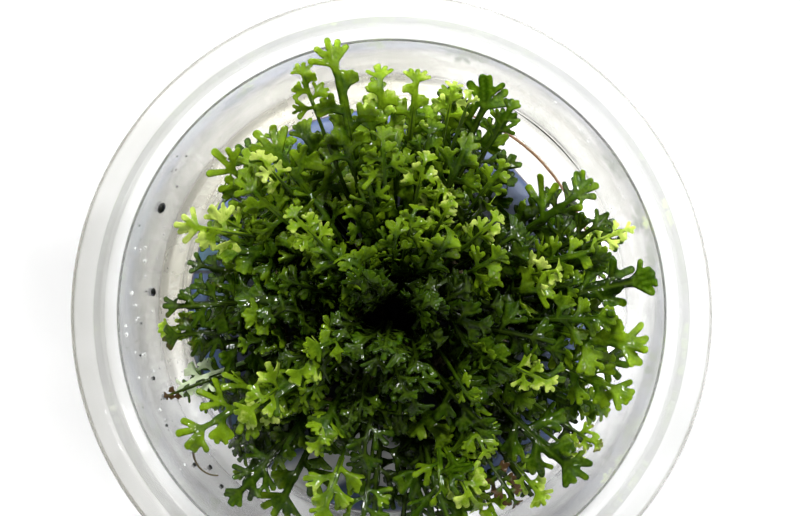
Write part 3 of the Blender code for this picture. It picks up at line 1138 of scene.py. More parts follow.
    def stalk_shell(self) -> Shell:
        """The petiole, which goes on as a midrib under the blade and thins out along it."""
        petiole = self.petiole(self.spine()[0])
        stops = (-petiole, 0.0, self.MIDRIB * self.blade)
        along = np.linspace(stops[0], stops[-1], self.STALK_RINGS)
        radii = np.interp(along, stops, self.STALK)
        path = self.placed(along, np.zeros(self.STALK_RINGS), -0.35 * radii * (along > 0.0))
        across = compass(self.azimuth)[1]
        shell = tube(path, radii, self.STALK_SIDES, np.cross(np.gradient(path, axis=0), across))
        # The petiole darkens towards its foot: partly its own colour, partly painted shade deep in the
        # clump.
        age = np.clip(-along / petiole, 0.0, 1.0) ** 1.5 * 0.9
        age = np.concatenate([np.repeat(age, self.STALK_SIDES), age[[0, -1]]])
        tone = min(self.tone, self.STALK_TONE[0]) - self.STALK_TONE[1]
        bleached = self.wilt >= 1.0
        wilt = self.wilt * (1.0 if bleached else 0.4)
        return shell.painted(tone=tone, wilt=wilt, tip=0.0, vein=0.5, under=0.0, age=age * (not bleached))

    def shells(self) -> list[Shell]:
        """The parts of the leaf."""
        return [self.blade_shell(), self.stalk_shell()]


@dataclass(frozen=True)
class Company:
    """Smaller fronds that grow from the foot of a storey's fronds. Ranges are low and high.

    Attributes:
        count: how many to each frond.
        turn: how far round they lie from it, in degrees.
        reach: their tips' radius as a share of its own.
        lift: how much higher their tips are.
        blade: their blades' length as a share of its own.
        tone: how much paler they are; the lower companies are darker, partly as painted shade.
        curl: how far their ends bend.
        cuts: how their blades are cut.
        ring: radius of the rhizome that they root on, where it isn't the leader's.
    """

    count: int
    turn: Pair
    reach: Pair
    lift: Pair
    blade: Pair
    tone: Pair
    curl: Pair
    cuts: tuple[Cut, ...]
    ring: float = 0.0

    FOOT = (-0.4, 0.4)
    ROLL = (-16.0, 16.0)
    SWAY = (-2.5, 2.5)
    CUP = (0.15, 0.6)

    def fronds(self, leader: Frond) -> list[Frond]:
        """The smaller fronds of one leader.

        Args:
            leader: the frond that they stand beside.

        Returns:
            The fronds, by turns on either side of it.
        """
        random = np.random.default_rng(leader.seed + 500)
        made = []
        for number in range(self.count):
            side = -1.0 if (number + leader.seed) % 2 else 1.0
            reach = random.uniform(*self.reach)
            lift = random.uniform(*self.lift)
            foot = max(leader.foot[0], self.ring) + random.uniform(*self.FOOT)
            start = foot if self.ring else leader.bend[0]
            made.append(
                replace(
                    leader,
                    azimuth=leader.azimuth + side * random.uniform(*self.turn),
                    foot=(foot, leader.foot[1]),
                    bend=(start * (0.4 + 0.6 * reach), leader.bend[1] + 0.8 * lift),
                    tip=(leader.tip[0] * reach, leader.tip[1] + lift),
                    blade=leader.blade * random.uniform(*self.blade),
                    roll=leader.roll + random.uniform(*self.ROLL),
                    cut=self.cuts[(number + leader.seed) % len(self.cuts)],
                    seed=leader.seed * 7 + number + 1000,
                    sway=random.uniform(*self.SWAY),
                    cup=random.uniform(*self.CUP),
                    curl=random.uniform(*self.curl),
                    tone=leader.tone + random.uniform(*self.tone),
                )
            )
        return made


@dataclass(frozen=True)
class Accent:
    """One more frond that stands out in the clump, with what it doesn't share with its neighbour.

    Attributes:
        node: the neighbour's node. The rest is as in a Frond.
    """

    node: str
    azimuth: float
    tip: Pair
    blade: float
    cut: Cut
    tone: float
    roll: float = 0.0
    curl: float = 0.4
    sway: float = 0.0
    wilt: float = 0.0

    def beside(self, leader: Frond, place: int) -> Frond:
        """The frond, on a spine like its neighbour's.

        Args:
            leader: the node's own frond.
            place: its number among the accents.

        Returns:
            The frond.
        """
        share = self.tip[0] / leader.tip[0]
        lift = self.tip[1] - leader.tip[1]
        bend = (leader.bend[0] * (0.3 + 0.7 * share), leader.bend[1] + 0.7 * lift)
        own = {name: value for name, value in vars(self).items() if name != "node"}
        return replace(leader, bend=bend, seed=4000 + 17 * place, **own)


# Their tones are partly the fronds' own colour, partly painted light and shade for where they lie.
ACCENTS = (
    Accent("lower_frond_1", 93.0, (40.5, 45.0), 15.0, Cut.TALL, 0.72, curl=0.9),
    Accent("lower_frond_1", 84.0, (40.0, 46.0), 14.0, Cut.TALL, 0.70, curl=0.9),
    Accent("arching_frond_8", 70.0, (39.0, 48.0), 5.0, Cut.YOUNG, 0.98, roll=40.0, curl=2.2),
    Accent("arching_frond_8", 60.0, (39.5, 46.5), 9.0, Cut.PALM, 0.44, roll=-14.0),
    Accent("arching_frond_1", 150.0, (37.0, 45.0), 12.0, Cut.BROAD, 0.84, sway=4.5),
    Accent("arching_frond_1", 130.0, (34.0, 47.0), 8.0, Cut.PARSLEY, 0.86, roll=10.0),
    Accent("arching_frond_2", 186.0, (37.5, 40.0), 11.0, Cut.PARSLEY, 0.36, wilt=0.42),
    Accent("lower_frond_4", 199.0, (39.0, 33.0), 9.0, Cut.ANTLER, 0.90, roll=24.0, curl=1.2, wilt=1.3),
    Accent("arching_frond_3", 214.0, (30.0, 45.0), 11.0, Cut.BROAD, 0.76, curl=0.7),
    Accent("lower_frond_5", 230.0, (41.0, 38.0), 13.0, Cut.PALM, 0.34),
    Accent("middle_frond_5", 240.0, (26.0, 43.0), 9.0, Cut.PARSLEY, 0.70),
    Accent("arching_frond_4", 262.0, (39.0, 41.0), 12.0, Cut.ANTLER, 0.46),
    Accent("lower_frond_7", 309.0, (40.5, 38.0), 9.0, Cut.BROAD, 0.76, curl=0.8),
    Accent("lower_frond_7", 303.0, (38.5, 40.0), 9.0, Cut.FEATHERED, 0.36, curl=1.3, wilt=0.64),
    Accent("lower_frond_7", 297.0, (40.0, 38.0), 8.0, Cut.BROAD, 0.70, curl=0.8),
    Accent("middle_frond_8", 336.0, (29.0, 44.0), 8.5, Cut.PARSLEY, 0.76, curl=0.7),
    Accent("arching_frond_6", 343.0, (41.5, 40.0), 15.0, Cut.FLAT, 0.58, sway=-1.5),
    Accent("arching_frond_6", 5.0, (42.8, 45.0), 20.0, Cut.PALM, 0.36, roll=-4.0, sway=2.0),
    Accent("arching_frond_6", 357.0, (36.0, 44.0), 12.0, Cut.FLAT, 0.52, sway=1.0),
    Accent("lower_frond_8", 335.0, (40.5, 33.0), 9.0, Cut.PARSLEY, 0.52, curl=0.9, wilt=0.3),
    Accent("lower_frond_9", 20.0, (38.5, 43.0), 13.0, Cut.ANTLER, 0.26, sway=2.0),
    Accent("lower_frond_9", 17.0, (42.0, 38.0), 9.0, Cut.FEATHERED, 0.88, sway=2.0),
    Accent("upper_frond_7", 42.0, (24.0, 46.0), 8.0, Cut.PARSLEY, 0.72, curl=0.9),
    Accent("upper_frond_8", 62.0, (22.0, 47.0), 7.5, Cut.FEATHERED, 0.76, roll=20.0, curl=1.2),
    Accent("upper_frond_8", 100.0, (24.0, 47.0), 9.5, Cut.PARSLEY, 0.50, roll=-10.0, curl=0.7),
    Accent("middle_frond_1", 96.0, (33.0, 46.0), 12.0, Cut.BROAD, 0.50, curl=0.5),
    Accent("middle_frond_1", 88.0, (29.0, 47.0), 11.0, Cut.FLAT, 0.56, roll=12.0),
    Accent("middle_frond_1", 78.0, (32.0, 44.0), 11.0, Cut.PARSLEY, 0.44, curl=0.6),
    Accent("middle_frond_2", 116.0, (34.0, 44.0), 12.0, Cut.FLAT, 0.52, curl=0.5),
    Accent("middle_frond_2", 105.0, (33.0, 50.0), 12.0, Cut.FLAT, 0.56, roll=-10.0),
    Accent("middle_frond_10", 66.0, (31.0, 47.0), 12.0, Cut.FLAT, 0.50, curl=0.5),
    Accent("middle_frond_10", 53.0, (31.0, 46.0), 11.0, Cut.FEATHERED, 0.62, curl=0.9),
    Accent("upper_frond_8", 78.0, (27.0, 45.5), 8.5, Cut.PARSLEY, 0.74, curl=0.8),
    Accent("crown_frond_1", 135.0, (24.0, 48.5), 9.0, Cut.PARSLEY, 0.74, curl=0.7),
    Accent("crown_frond_2", 205.0, (15.0, 48.5), 9.0, Cut.BROAD, 0.58, roll=-12.0),
    Accent("upper_frond_4", 213.0, (19.0, 49.0), 12.0, Cut.PALM, 0.68, roll=-8.0),
    Accent("upper_frond_8", 93.0, (30.0, 50.0), 10.0, Cut.PARSLEY, 0.58, curl=0.8),
    Accent("lower_frond_4", 200.5, (40.3, 34.0), 3.2, Cut.YOUNG, 0.30, curl=0.8, wilt=0.85),
    Accent("tall_frond", 110.5, (42.6, 51.0), 9.0, Cut.PARSLEY, 0.64, curl=0.6),
    Accent("middle_frond_2", 125.0, (35.5, 47.5), 18.0, Cut.BROAD, 0.58, roll=6.0),
    Accent("middle_frond_3", 139.0, (33.0, 45.0), 15.0, Cut.PARSLEY, 0.60, roll=-8.0),
    Accent("lower_frond_3", 184.0, (38.5, 38.0), 9.0, Cut.PARSLEY, 0.70, curl=0.7),
    Accent("arching_frond_4", 251.0, (36.0, 42.0), 12.0, Cut.FLAT, 0.66, roll=8.0),
    Accent("lower_frond_8", 327.0, (41.5, 36.0), 6.5, Cut.PARSLEY, 0.74, curl=0.9, wilt=0.42),
    Accent("lower_frond_8", 322.0, (40.5, 33.0), 7.0, Cut.YOUNG, 0.80, curl=0.7),
    Accent("crown_frond_5", 52.0, (17.5, 49.5), 9.0, Cut.FLAT, 0.60, roll=14.0, curl=1.0),
    Accent("crown_frond_5", 78.0, (19.0, 48.5), 8.5, Cut.PARSLEY, 0.64, roll=-16.0, curl=1.1),
    Accent("upper_frond_7", 28.0, (21.0, 47.5), 9.0, Cut.BROAD, 0.58, curl=0.9),
)

# Some fronds' own looks. Their tones are partly their colour, partly painted light and shade for where they
# lie.
LOOKS = {
    "tall_frond": {"tone": 0.62, "cup": 0.2, "blade": 23.0},
    "arching_frond_8": {"tone": 0.42, "cut": Cut.BROAD},
    "arching_frond_2": {"tone": 0.32, "cut": Cut.FEATHERED, "wilt": 0.36},
    "arching_frond_3": {"tone": 0.62},
    "arching_frond_4": {"tone": 0.38, "cut": Cut.ANTLER},
    "arching_frond_5": {"tone": 0.40, "cut": Cut.FLAT},
    "arching_frond_6": {"tone": 0.60, "cut": Cut.FLAT, "blade": 20.0, "roll": 0.0},
    "arching_frond_7": {"tone": 0.46, "cut": Cut.PARSLEY},
    "lower_frond_9": {"tone": 0.24},
    "lower_frond_3": {"tone": 0.30, "cut": Cut.FEATHERED},
    "upper_frond_5": {"tone": 0.26},
    "upper_frond_6": {"tone": 0.30},
    "heart_frond_3": {"tone": 0.20},
    "crown_frond_4": {"tone": 0.26},
}


BAYS = ((33.0, 56.0, 29.0), (160.0, 175.0, 27.0), (247.0, 270.0, 26.0))


def in_bay(frond: Frond) -> bool:
    """Whether a small frond would cover a gap in the clump: an arc of azimuths, past a radius."""
    azimuth, radius = frond.azimuth % 360.0, frond.tip[0]
    return any(low < azimuth < high and radius > inner for low, high, inner in BAYS)


@dataclass(frozen=True)
class Storey:
    """Fronds that root on one ring and end at one height.

    Attributes:
        name: the start of its nodes' names.
        count: how many places it has round the axis.
        first: azimuth of the first frond, in degrees.
        root: radius of their feet.
        bend: control point of their spines, as radius and height.
        tip: radius and height of their tips; with no radius they end where the clump does.
        blade: length of their blades.
        roll: turn of their blades, in degrees.
        cuts: how their blades are cut, in turn.
        tone: how pale they are; partly their own colour, partly painted shade, lower for the heart and the
            low storeys.
        company: the smaller fronds beside them.
        short: how far inside the clump's edge they end.
        skip: places that hold no frond.
        CUP, CURL: how far their sides and ends bend down, and how much that wanders.
        LIT_TONE, LIT_FROM: how much paler the fronds towards the light are painted, as painted light, and
            the light's azimuth.
    """

    name: str
    count: int
    first: float
    root: float
    bend: Pair
    tip: tuple[float | None, float]
    blade: float
    roll: float
    cuts: tuple[Cut, ...]
    tone: float
    company: tuple[Company, ...] = ()
    short: float = 0.0
    skip: tuple[int, ...] = ()

    ROOT_HEIGHT = 11.6
    AZIMUTH_WANDER = 1.2
    TIP_WANDER = 1.2
    EDGE_WANDER = 0.5
    HEIGHT_WANDER = 1.1
    BLADE_WANDER = 0.06
    SWAY_WANDER = 1.6
    CUP = (0.32, 0.16)
    CURL = (0.45, 0.30)
    TONE_WANDER = 0.18
    LIT_TONE = 0.12
    LIT_FROM = 120.0

    def frond(self, index: int) -> Frond:
        """The frond at one place of the storey, on the same spine as its solid."""
        scatter = float(self.count > 1)
        azimuth = self.first + 360.0 / self.count * index
        azimuth += self.AZIMUTH_WANDER * wander(index, 1) * scatter
        # Painted light: fronds on the side of the light are paler.
        lit = self.LIT_TONE * math.cos(math.radians(azimuth - self.LIT_FROM))
        radius, height = self.tip
        if radius is None:
            radius = clump_reach(azimuth) - self.short - self.EDGE_WANDER * abs(wander(index, 2))
        else:
            radius += self.TIP_WANDER * wander(index, 2) * scatter
        return Frond(
            azimuth=azimuth,
            foot=(self.root, self.ROOT_HEIGHT),
            bend=self.bend,
            tip=(radius, height + self.HEIGHT_WANDER * wander(index, 3) * scatter),
            blade=self.blade * (1.0 + self.BLADE_WANDER * wander(index, 4)),
            roll=self.roll,
            cut=self.cuts[index % len(self.cuts)],
            seed=sum(map(ord, self.name)) + 13 * index,
            sway=self.SWAY_WANDER * wander(index, 9),
            cup=self.CUP[0] + self.CUP[1] * wander(index, 10),
            curl=self.CURL[0] + self.CURL[1] * wander(index, 11),
            tone=self.tone + self.TONE_WANDER * wander(index, 12) + lit,
        )

    def tufts(self) -> list[tuple[str, list[Frond]]]:
        """The storey's tufts: each node's name, with its own frond and those beside it."""
        tufts = []
        for index in range(self.count):
            if index in self.skip:
                continue
            leader = self.frond(index)
            name = f"{self.name}_{len(tufts) + 1}" if self.count > 1 else self.name
            small = [frond for company in self.company for frond in company.fronds(leader)]
            fronds = [replace(leader, **LOOKS.get(name, {}))]
            fronds += [frond for frond in small if not in_bay(frond)]
            for place, accent in enumerate(ACCENTS):
                if accent.node == name:
                    fronds.append(accent.beside(leader, place))
            tufts.append((name, fronds))
        return tufts


REACH = (
    (0.0, 42.4), (20.0, 41.8), (45.0, 36.5), (67.0, 41.5), (90.0, 41.0), (130.0, 39.5), (157.0, 36.5),
    (185.0, 37.5), (211.0, 40.5), (230.0, 41.6), (270.0, 39.5), (300.0, 40.0), (330.0, 42.0),
    (360.0, 42.4),
)


def clump_reach(azimuth: float) -> float:
    """The clump's radius in a direction, eased between the values of REACH by half a cosine."""
    azimuth %= 360.0
    step = max(1, sum(start < azimuth for start, _ in REACH))
    (low, before), (high, after) = REACH[step - 1 : step + 1]
    eased_share = 0.5 - 0.5 * math.cos(math.pi * (azimuth - low) / (high - low))
    return before + (after - before) * eased_share


ALL_CUTS = (Cut.PARSLEY, Cut.FLAT, Cut.YOUNG, Cut.BROAD, Cut.FLAT, Cut.FEATHERED)
SMALL = Company(3, (5.0, 22.0), (0.52, 0.96), (-3.0, 2.5), (0.60, 0.96), (-0.20, 0.10), (0.3, 1.0),
                ALL_CUTS)
MIDWAY = replace(SMALL, ring=12.6)
OUTER = replace(SMALL, reach=(0.62, 0.97), ring=20.0)
# Low fronds deep in the clump, darker partly as painted shade.
FILL = Company(3, (5.0, 32.0), (0.45, 0.9), (-11.0, -3.0), (0.6, 0.9), (-0.30, -0.14), (0.3, 0.9),
               (Cut.FLAT, Cut.BROAD, Cut.FEATHERED))
EDGE = Company(2, (6.0, 20.0), (0.80, 1.0), (-8.0, -2.0), (0.56, 0.86), (-0.14, 0.06), (0.3, 0.9),
               (Cut.PARSLEY, Cut.ANTLER, Cut.FLAT), 20.0)
INNER = Company(2, (2.0, 13.0), (0.40, 0.68), (-7.0, -1.0), (0.50, 0.72), (-0.12, 0.06), (0.3, 0.9),
                (Cut.FLAT, Cut.PARSLEY, Cut.BROAD))
FRESH = Company(1, (6.0, 16.0), (0.70, 1.0), (-1.0, 2.5), (0.44, 0.6), (0.10, 0.26), (0.8, 2.0),
                (Cut.YOUNG, Cut.ANTLER))
SPRAY = replace(FRESH, ring=20.0)
FAR = replace(OUTER, count=5, turn=(3.0, 24.0), reach=(0.46, 0.86), lift=(-13.0, -6.0), blade=(0.5, 0.76))

STOREYS = (
    Storey("heart_frond", 3, 10.0, 2.1, (2.4, 46.0), (8.0, 50.5), 11.0, 0.0,
           (Cut.PARSLEY, Cut.ANTLER, Cut.BROAD), 0.29, (SMALL, FILL)),
    Storey("crown_frond", 5, 139.0, 4.9, (5.5, 50.0), (16.5, 47.0), 12.5, 14.0,
           (Cut.FLAT, Cut.PARSLEY, Cut.ANTLER), 0.36, (SMALL, FILL)),
    Storey("upper_frond", 8, 125.5, 6.9, (9.5, 42.0), (26.0, 41.5), 13.5, 16.0,
           (Cut.PARSLEY, Cut.FLAT, Cut.BROAD), 0.40, (MIDWAY, FILL, FRESH)),
    Storey("middle_frond", 10, 85.0, 11.7, (15.5, 34.0), (33.5, 34.0), 14.0, 6.0,
           (Cut.FLAT, Cut.FEATHERED, Cut.ANTLER), 0.36, (OUTER, EDGE)),
    Storey("arching_frond", 10, 139.0, 12.6, (20.0, 40.0), (None, 42.0), 17.0, 10.0,
           (Cut.ANTLER, Cut.FLAT, Cut.PARSLEY, Cut.BROAD), 0.52, (OUTER, INNER, SPRAY), skip=(3, 9)),
    Storey("lower_frond", 10, 94.0, 13.5, (21.0, 29.5), (None, 28.0), 15.5, 14.0,
           (Cut.FEATHERED, Cut.BROAD, Cut.ANTLER), 0.36, (OUTER, EDGE), 0.8),
    Storey("skirt_frond", 7, 20.0, 20.0, (26.0, 20.5), (None, 18.5), 13.5, 10.0,
           (Cut.FEATHERED, Cut.ANTLER), 0.32, (SMALL,), 1.6),
    Storey("tall_frond", 1, 103.0, 12.6, (18.0, 52.0), (44.6, 52.5), 17.0, 8.0,
           (Cut.TALL,), 0.62, (FAR,)),
)


@dataclass(frozen=True)
class Fern:
    """The fronds, one piece for each frond of the CAD model with the small ones beside it."""

    finish: LeafFinish = LeafFinish()
    storeys: tuple[Storey, ...] = STOREYS
    gap: float = 0.5
    thread_start: Pair = (-21.5, -13.0)
    thread_height: float = 31.0
    thread_length: float = 21.0
    thread_girth: Pair = (0.32, 0.18)
    thread_rings: int = 30

    def pressed(self, shell: Shell) -> Shell:
        """Keeps leaves off the cup: a point too near its wall, or past it, moves in to the gap."""
        radius = np.hypot(shell.points[:, 0], shell.points[:, 1])
        limit = Cup.inner_radius(shell.points[:, 2]) - self.gap
        shell.points[:, :2] *= np.minimum(1.0, limit / np.maximum(radius, 1e-6))[:, None]
        return shell

    def build(self) -> None:
        """Builds every tuft."""
        material = self.finish.material()
        for storey in self.storeys:
            for name, fronds in storey.tufts():
                shells = [shell for frond in fronds for shell in frond.shells()]
                tuft = self.pressed(Shell.joined(shells))
                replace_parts(tuft.piece(f"{name}_leaf", material, "frond"), name)
        self.thread().piece("withered_thread", material, "frond")

    def thread(self) -> Shell:
        """The brown midrib of a blade that has withered away, arched and curled at its end."""
        t = np.linspace(0.0, 1.0, self.thread_rings)
        turn = np.radians(212.0 + 300.0 * np.maximum(0.0, t - 0.45) ** 1.2)
        height = self.thread_height + 7.0 * np.sin(1.6 * t)
        step = self.thread_length / (self.thread_rings - 1)
        path = strolled(np.array(self.thread_start), turn, step, height)
        shell = tube(path, self.thread_girth[0] - self.thread_girth[1] * t, 6)
        return shell.painted(tone=0.2, wilt=0.95, tip=0.6, vein=0.0, under=0.0, age=0.0)


@dataclass(frozen=True)
class Cup:
    """The clear cup: foot ring, base panel, wall, ledge, collar and flange with its skirt.

    A pair is the radius and height of a corner of the inner face. But wall_rings are shares of the wall's
    height that have corners of their own, so that the greying of its foot ends above it, and the last four
    pairs are the heights or radii where the greying of the wall, foot, rim and flange, partly a hazy film
    and partly painted shade, begins and is full, or ends.
    """

    finish: ClearPlasticFinish = ClearPlasticFinish()
    wall: float = 0.32
    panel_radius: float = 36.9
    panel_top: float = 3.0
    foot_inner: float = 37.9
    foot_outer: float = 41.0
    foot_floor: float = 0.8
    wall_foot: Pair = (41.6, 2.4)
    wall_top: Pair = (43.6, 46.0)
    wall_rings: Pair = (0.07, 0.4)
    ledge: Pair = (45.6, 47.2)
    collar: Pair = (46.4, 55.2)
    rim_radius: float = 50.0
    rim_height: float = 56.0
    flange: float = 0.9
    skirt: float = 3.2
    bevel: float = 0.6
    groove: float = 0.4
    lip: float = 0.5
    corner: float = 0.5
    wall_haze_and_shade: Pair = (44.0, 46.8)
    foot_haze_and_shade: Pair = (2.2, 5.0)
    rim_haze: Pair = (49.0, 49.9)
    flange_shade: Pair = (46.0, 47.5)
    lit_at: float = 55.0
    foot_shade_at: float = 140.0
    segments: int = 240

    @classmethod
    def inner_radius(cls, height: np.ndarray) -> np.ndarray:
        """The radius of the inner surface at given heights, straight between its corners."""
        corners = (cls.wall_foot, cls.wall_top, cls.ledge, cls.collar)
        radii, heights = np.array(corners).T
        return np.interp(height, heights, radii)

    def profile(self) -> np.ndarray:
        """The section, from the axis on the underside over the outside to the axis again."""
        wall, rim, top = self.wall, self.rim_radius, self.rim_height
        foot, head = np.array(self.wall_foot), np.array(self.wall_top)
        low, high = (foot + share * (head - foot) for share in self.wall_rings)
        return np.array(
            [
                (0.0, self.panel_top - wall),
                (self.panel_radius, self.panel_top - wall),
                (self.foot_inner, 0.0),
                (self.foot_outer, 0.0),
                (self.wall_foot[0] + wall, self.wall_foot[1] - wall),
                (low[0] + wall, low[1]),
                (high[0] + wall, high[1]),
                (self.wall_top[0] + wall, self.wall_top[1] - 0.3 * wall),
                (self.ledge[0] + wall, self.ledge[1] - 0.5 * wall),
                (self.collar[0] + wall, top - self.flange),
                (rim - wall, top - self.flange),
                (rim - wall, top - self.skirt),
                (rim, top - self.skirt),
                (rim, top - self.bevel),
                (rim - self.bevel, top),
                (self.collar[0] + self.lip, top),
                self.collar,
                self.ledge,
                self.wall_top,
                high,
                low,
                self.wall_foot,
                (self.foot_outer - self.groove, self.foot_floor),
                (self.foot_inner + self.groove, self.foot_floor),
                (self.panel_radius, self.panel_top),
                (0.0, self.panel_top),
            ]
        )

    def build(self) -> None:
        """Builds the moulding, turned from its eased section."""
        section = rounded(self.profile(), self.corner, 4)
        section[[0, -1], 0] = 1.0
        radii = np.repeat(section[:, :1], self.segments, axis=1)
        shell = self.misted(revolved(radii, np.broadcast_to(section[:, 1:], radii.shape)))
        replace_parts(shell.piece("clear_cup", self.finish.material(), "clear_plastic"), "cup")

    def misted(self, shell: Shell) -> Shell:
        """Paints the frost, a faint hazy film and painted shade. As painted shade, the wall is greyer on the
        lit side and a little to the west, its foot greyer to the north-west and on the lit side, and the
        flange greyer to the west; the flange is also greyer at its rim."""
        east, north, height = shell.points.T
        azimuth = np.arctan2(north, east)
        mist = 1.0 - eased(height, *self.wall_haze_and_shade)
        foot = 1.0 - eased(height, *self.foot_haze_and_shade)
        lit = np.maximum(0.0, 1.5 * np.cos(azimuth - math.radians(self.lit_at)) - 0.5)
        # Painted shade: the foot greys towards the north-west.
        foot_shade = np.clip(2.6 * np.cos(azimuth - math.radians(self.foot_shade_at)) - 1.0, 0.0, 1.0)
        west = np.maximum(0.0, -np.cos(azimuth))
        haze_and_shade = (0.02 + 0.32 * lit + 0.12 * west) * mist + np.minimum(1.0, foot_shade + 0.3 * lit) * foot
        haze_and_shade += 0.5 * eased(np.hypot(east, north), *self.rim_haze)
        # Painted shade: the flange greys to the west.
        haze_and_shade += 0.4 * np.maximum(0.0, -east / self.rim_radius) * eased(height, *self.flange_shade)
        return shell.painted(frost=haze_and_shade, mist=mist + 0.8 * foot)


@dataclass(frozen=True)
class Gel:
    """The pad of gel on the base panel, shrunk away from the wall on one side.

    A pair says where a look begins and where it is full: cracked to the west, darkened inside a radius as
    painted shade under the clump, and pale to the south as a painted reflection, which fades again over the
    pair after it.
    """

    finish: GelFinish = GelFinish()
    radius: float = 36.3
    foot: float = 3.3
    top: float = 10.0
    shrink: float = 3.6
    shrink_at: float = 38.0
    ripple: float = 0.12
    cracked: Pair = (16.0, 27.0)
    matted: Pair = (26.0, 34.0)
    bare: Pair = (16.0, 23.0)
    sheen_end: Pair = (26.0, 32.0)
    seep_azimuths: Pair = (8.0, 76.0)
    seep_radius: float = 37.1
    seep_height: float = 3.25
    seep_girth: float = 0.26
    seep_rings: int = 60
    segments: int = 160

    def edge(self) -> np.ndarray:
        """The pad's radius all round: full, less a broad bay, less a few shallow waves."""
        angle = round_angles(self.segments)
        bay = np.maximum(0.0, np.cos(angle - math.radians(self.shrink_at))) ** 3
        waves = 0.25 * (1.0 + np.sin(5 * angle + 1.0)) + 0.15 * (1.0 + np.sin(11 * angle))
        return self.radius - self.shrink * bay - waves

    def build(self) -> None:
        """Builds the pad: radius = edge * share and height over a section with a soft shoulder."""
        under = ((0.5, 0.0), (0.94, 0.0), (0.985, 0.5), (1.0, 2.0))
        over = ((0.998, 1.6), (0.985, 0.6), (0.955, 0.15), (0.9, 0.0), (0.85, 0.03), (0.8, 0.05),
                (0.75, 0.08), (0.7, 0.1), (0.65, 0.09), (0.6, 0.08), (0.5, 0.06), (0.4, 0.05), (0.1, 0.0))
        section = [(share, self.foot + rise) for share, rise in under]
        section += [(share, self.top - drop) for share, drop in over]
        share, level = np.array(section).T[..., None]
        ripple = self.ripple * (np.sin(3 * round_angles(self.segments)) * (share * 4.0).clip(0, 1) - 1.0)
        shell = revolved(share * self.edge(), level + ripple * (level > self.top - 2.0))
        east, north, _ = shell.points.T
        edge = np.append(np.repeat(0.6 * eased(share, 0.985, 1.0), self.segments), (0.0, 0.0))
        # Painted shade: dark under the clump.
        matted = 0.94 * (1.0 - eased(np.hypot(east, north), *self.matted))
        # Painted reflection: pale to the south.
        south = -north - 0.6 * np.abs(east + 6.0)
        bare = eased(south, *self.bare) * (1.0 - eased(south, *self.sheen_end))
        shell = shell.painted(edge=edge, cracked=eased(-east, *self.cracked), matted=matted, bare=bare)
        material = self.finish.material()
        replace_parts(shell.piece("gel_pad_skin", material, "gel"), "gel_pad")
        self.seep().piece("gel_seep", material, "gel")

    def seep(self) -> Shell:
        """A thin amber line of gel that has seeped to the base panel's edge on the shrunken side."""
        angle = np.radians(np.linspace(*self.seep_azimuths, self.seep_rings))
        path = polar(self.seep_radius + 0.12 * np.sin(9.0 * angle), angle, self.seep_height)
        girth = self.seep_girth * np.sin(np.linspace(0.25, math.pi - 0.25, self.seep_rings)) ** 0.5
        return tube(path, girth, 8).painted(edge=1.0, cracked=0.0, matted=0.0, bare=0.0)


@dataclass(frozen=True)
class Rhizome:
    """One creeping stem: it curls round a ring from an azimuth, scaly, and roots into the gel."""

    name: str
    ring: float
    start: float
    sweep: float
    roots: int

    RADIUS = 1.1
    HEIGHT = 11.4
    WAVES = 3
    SWAY = 0.4
    SIDES = 14
    SCALE = 1.5
    SPACING = 0.3
    ENDS = 0.04
    ROOT_LENGTH = (5.5, 2.5)
    ROOT_GIRTH = (0.17, 0.1)
    ROOT_RINGS = 12
    GEL_TOP = 10.12
    DROP = 1.1

    def path(self) -> np.ndarray:
        """The middle line: ring + sway sin(waves * azimuth), at one height."""
        steps = max(12, int(abs(math.radians(self.sweep)) * self.ring / self.SPACING))
        angle = np.radians(self.start + self.sweep * np.linspace(0.0, 1.0, steps))
        return polar(self.ring + self.SWAY * np.sin(self.WAVES * angle), angle, self.HEIGHT)

    def stem(self) -> Shell:
        """The stem: its radius steps up along each overlapping scale and falls back at its end."""
        path = self.path()
        step = np.linalg.norm(np.diff(path, axis=0), axis=1)
        along = np.concatenate([[0.0], np.cumsum(step)])[:, None]
        side = np.arange(self.SIDES)[None, :] / self.SIDES
        saw = (along / self.SCALE + 2.0 * side) % 1.0
        taper = np.sqrt(np.clip(np.minimum(along, along[-1] - along) / 0.9 + 0.05, 0.0, 1.0))
        radii = self.RADIUS * (0.86 + 0.14 * saw) * taper
        shell = tube(path, radii, self.SIDES)
        return shell.painted(scale=np.append(saw.ravel(), (0.0, 0.0)), root=0.0)

    def root(self, number: int) -> Shell:
        """One wiry root that leaves the stem's side and wanders over the gel."""
        path = self.path()
        share = self.ENDS + (1.0 - 2.0 * self.ENDS) * number / (self.roots - 1)
        start = path[int(share * (len(path) - 1))]
        heading = math.atan2(start[1], start[0]) + 0.8 * wander(number, 2) + math.pi * (1 - number % 2)
        t = np.linspace(0.0, 1.0, self.ROOT_RINGS)
        turn = heading + 0.7 * np.sin(3.0 * t + number)
        length = self.ROOT_LENGTH[0] + self.ROOT_LENGTH[1] * wander(number, 3)
        height = self.GEL_TOP + self.DROP * (1.0 - eased(t, 0.0, 0.35))
        path = strolled(start, turn, length / (self.ROOT_RINGS - 1), height)
        shell = tube(path, self.ROOT_GIRTH[0] - self.ROOT_GIRTH[1] * t, 6)
        return shell.painted(scale=0.0, root=1.0)

    def build(self, material: Material) -> None:
        """Builds the stem with its roots as one piece."""
        shells = [self.stem()] + [self.root(number) for number in range(self.roots)]
        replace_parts(Shell.joined(shells).piece(f"{self.name}_bark", material, "rhizome"), self.name)


RHIZOMES = (
    Rhizome("rhizome_heart", 2.1, 0.0, 260.0, 4),
    Rhizome("rhizome_crown", 5.8, 105.0, 325.0, 8),
    Rhizome("rhizome_middle", 12.6, 80.0, 350.0, 18),
    Rhizome("rhizome_east", 20.0, -80.0, 160.0, 16),
    Rhizome("rhizome_west", 20.0, 100.0, 160.0, 16),
)


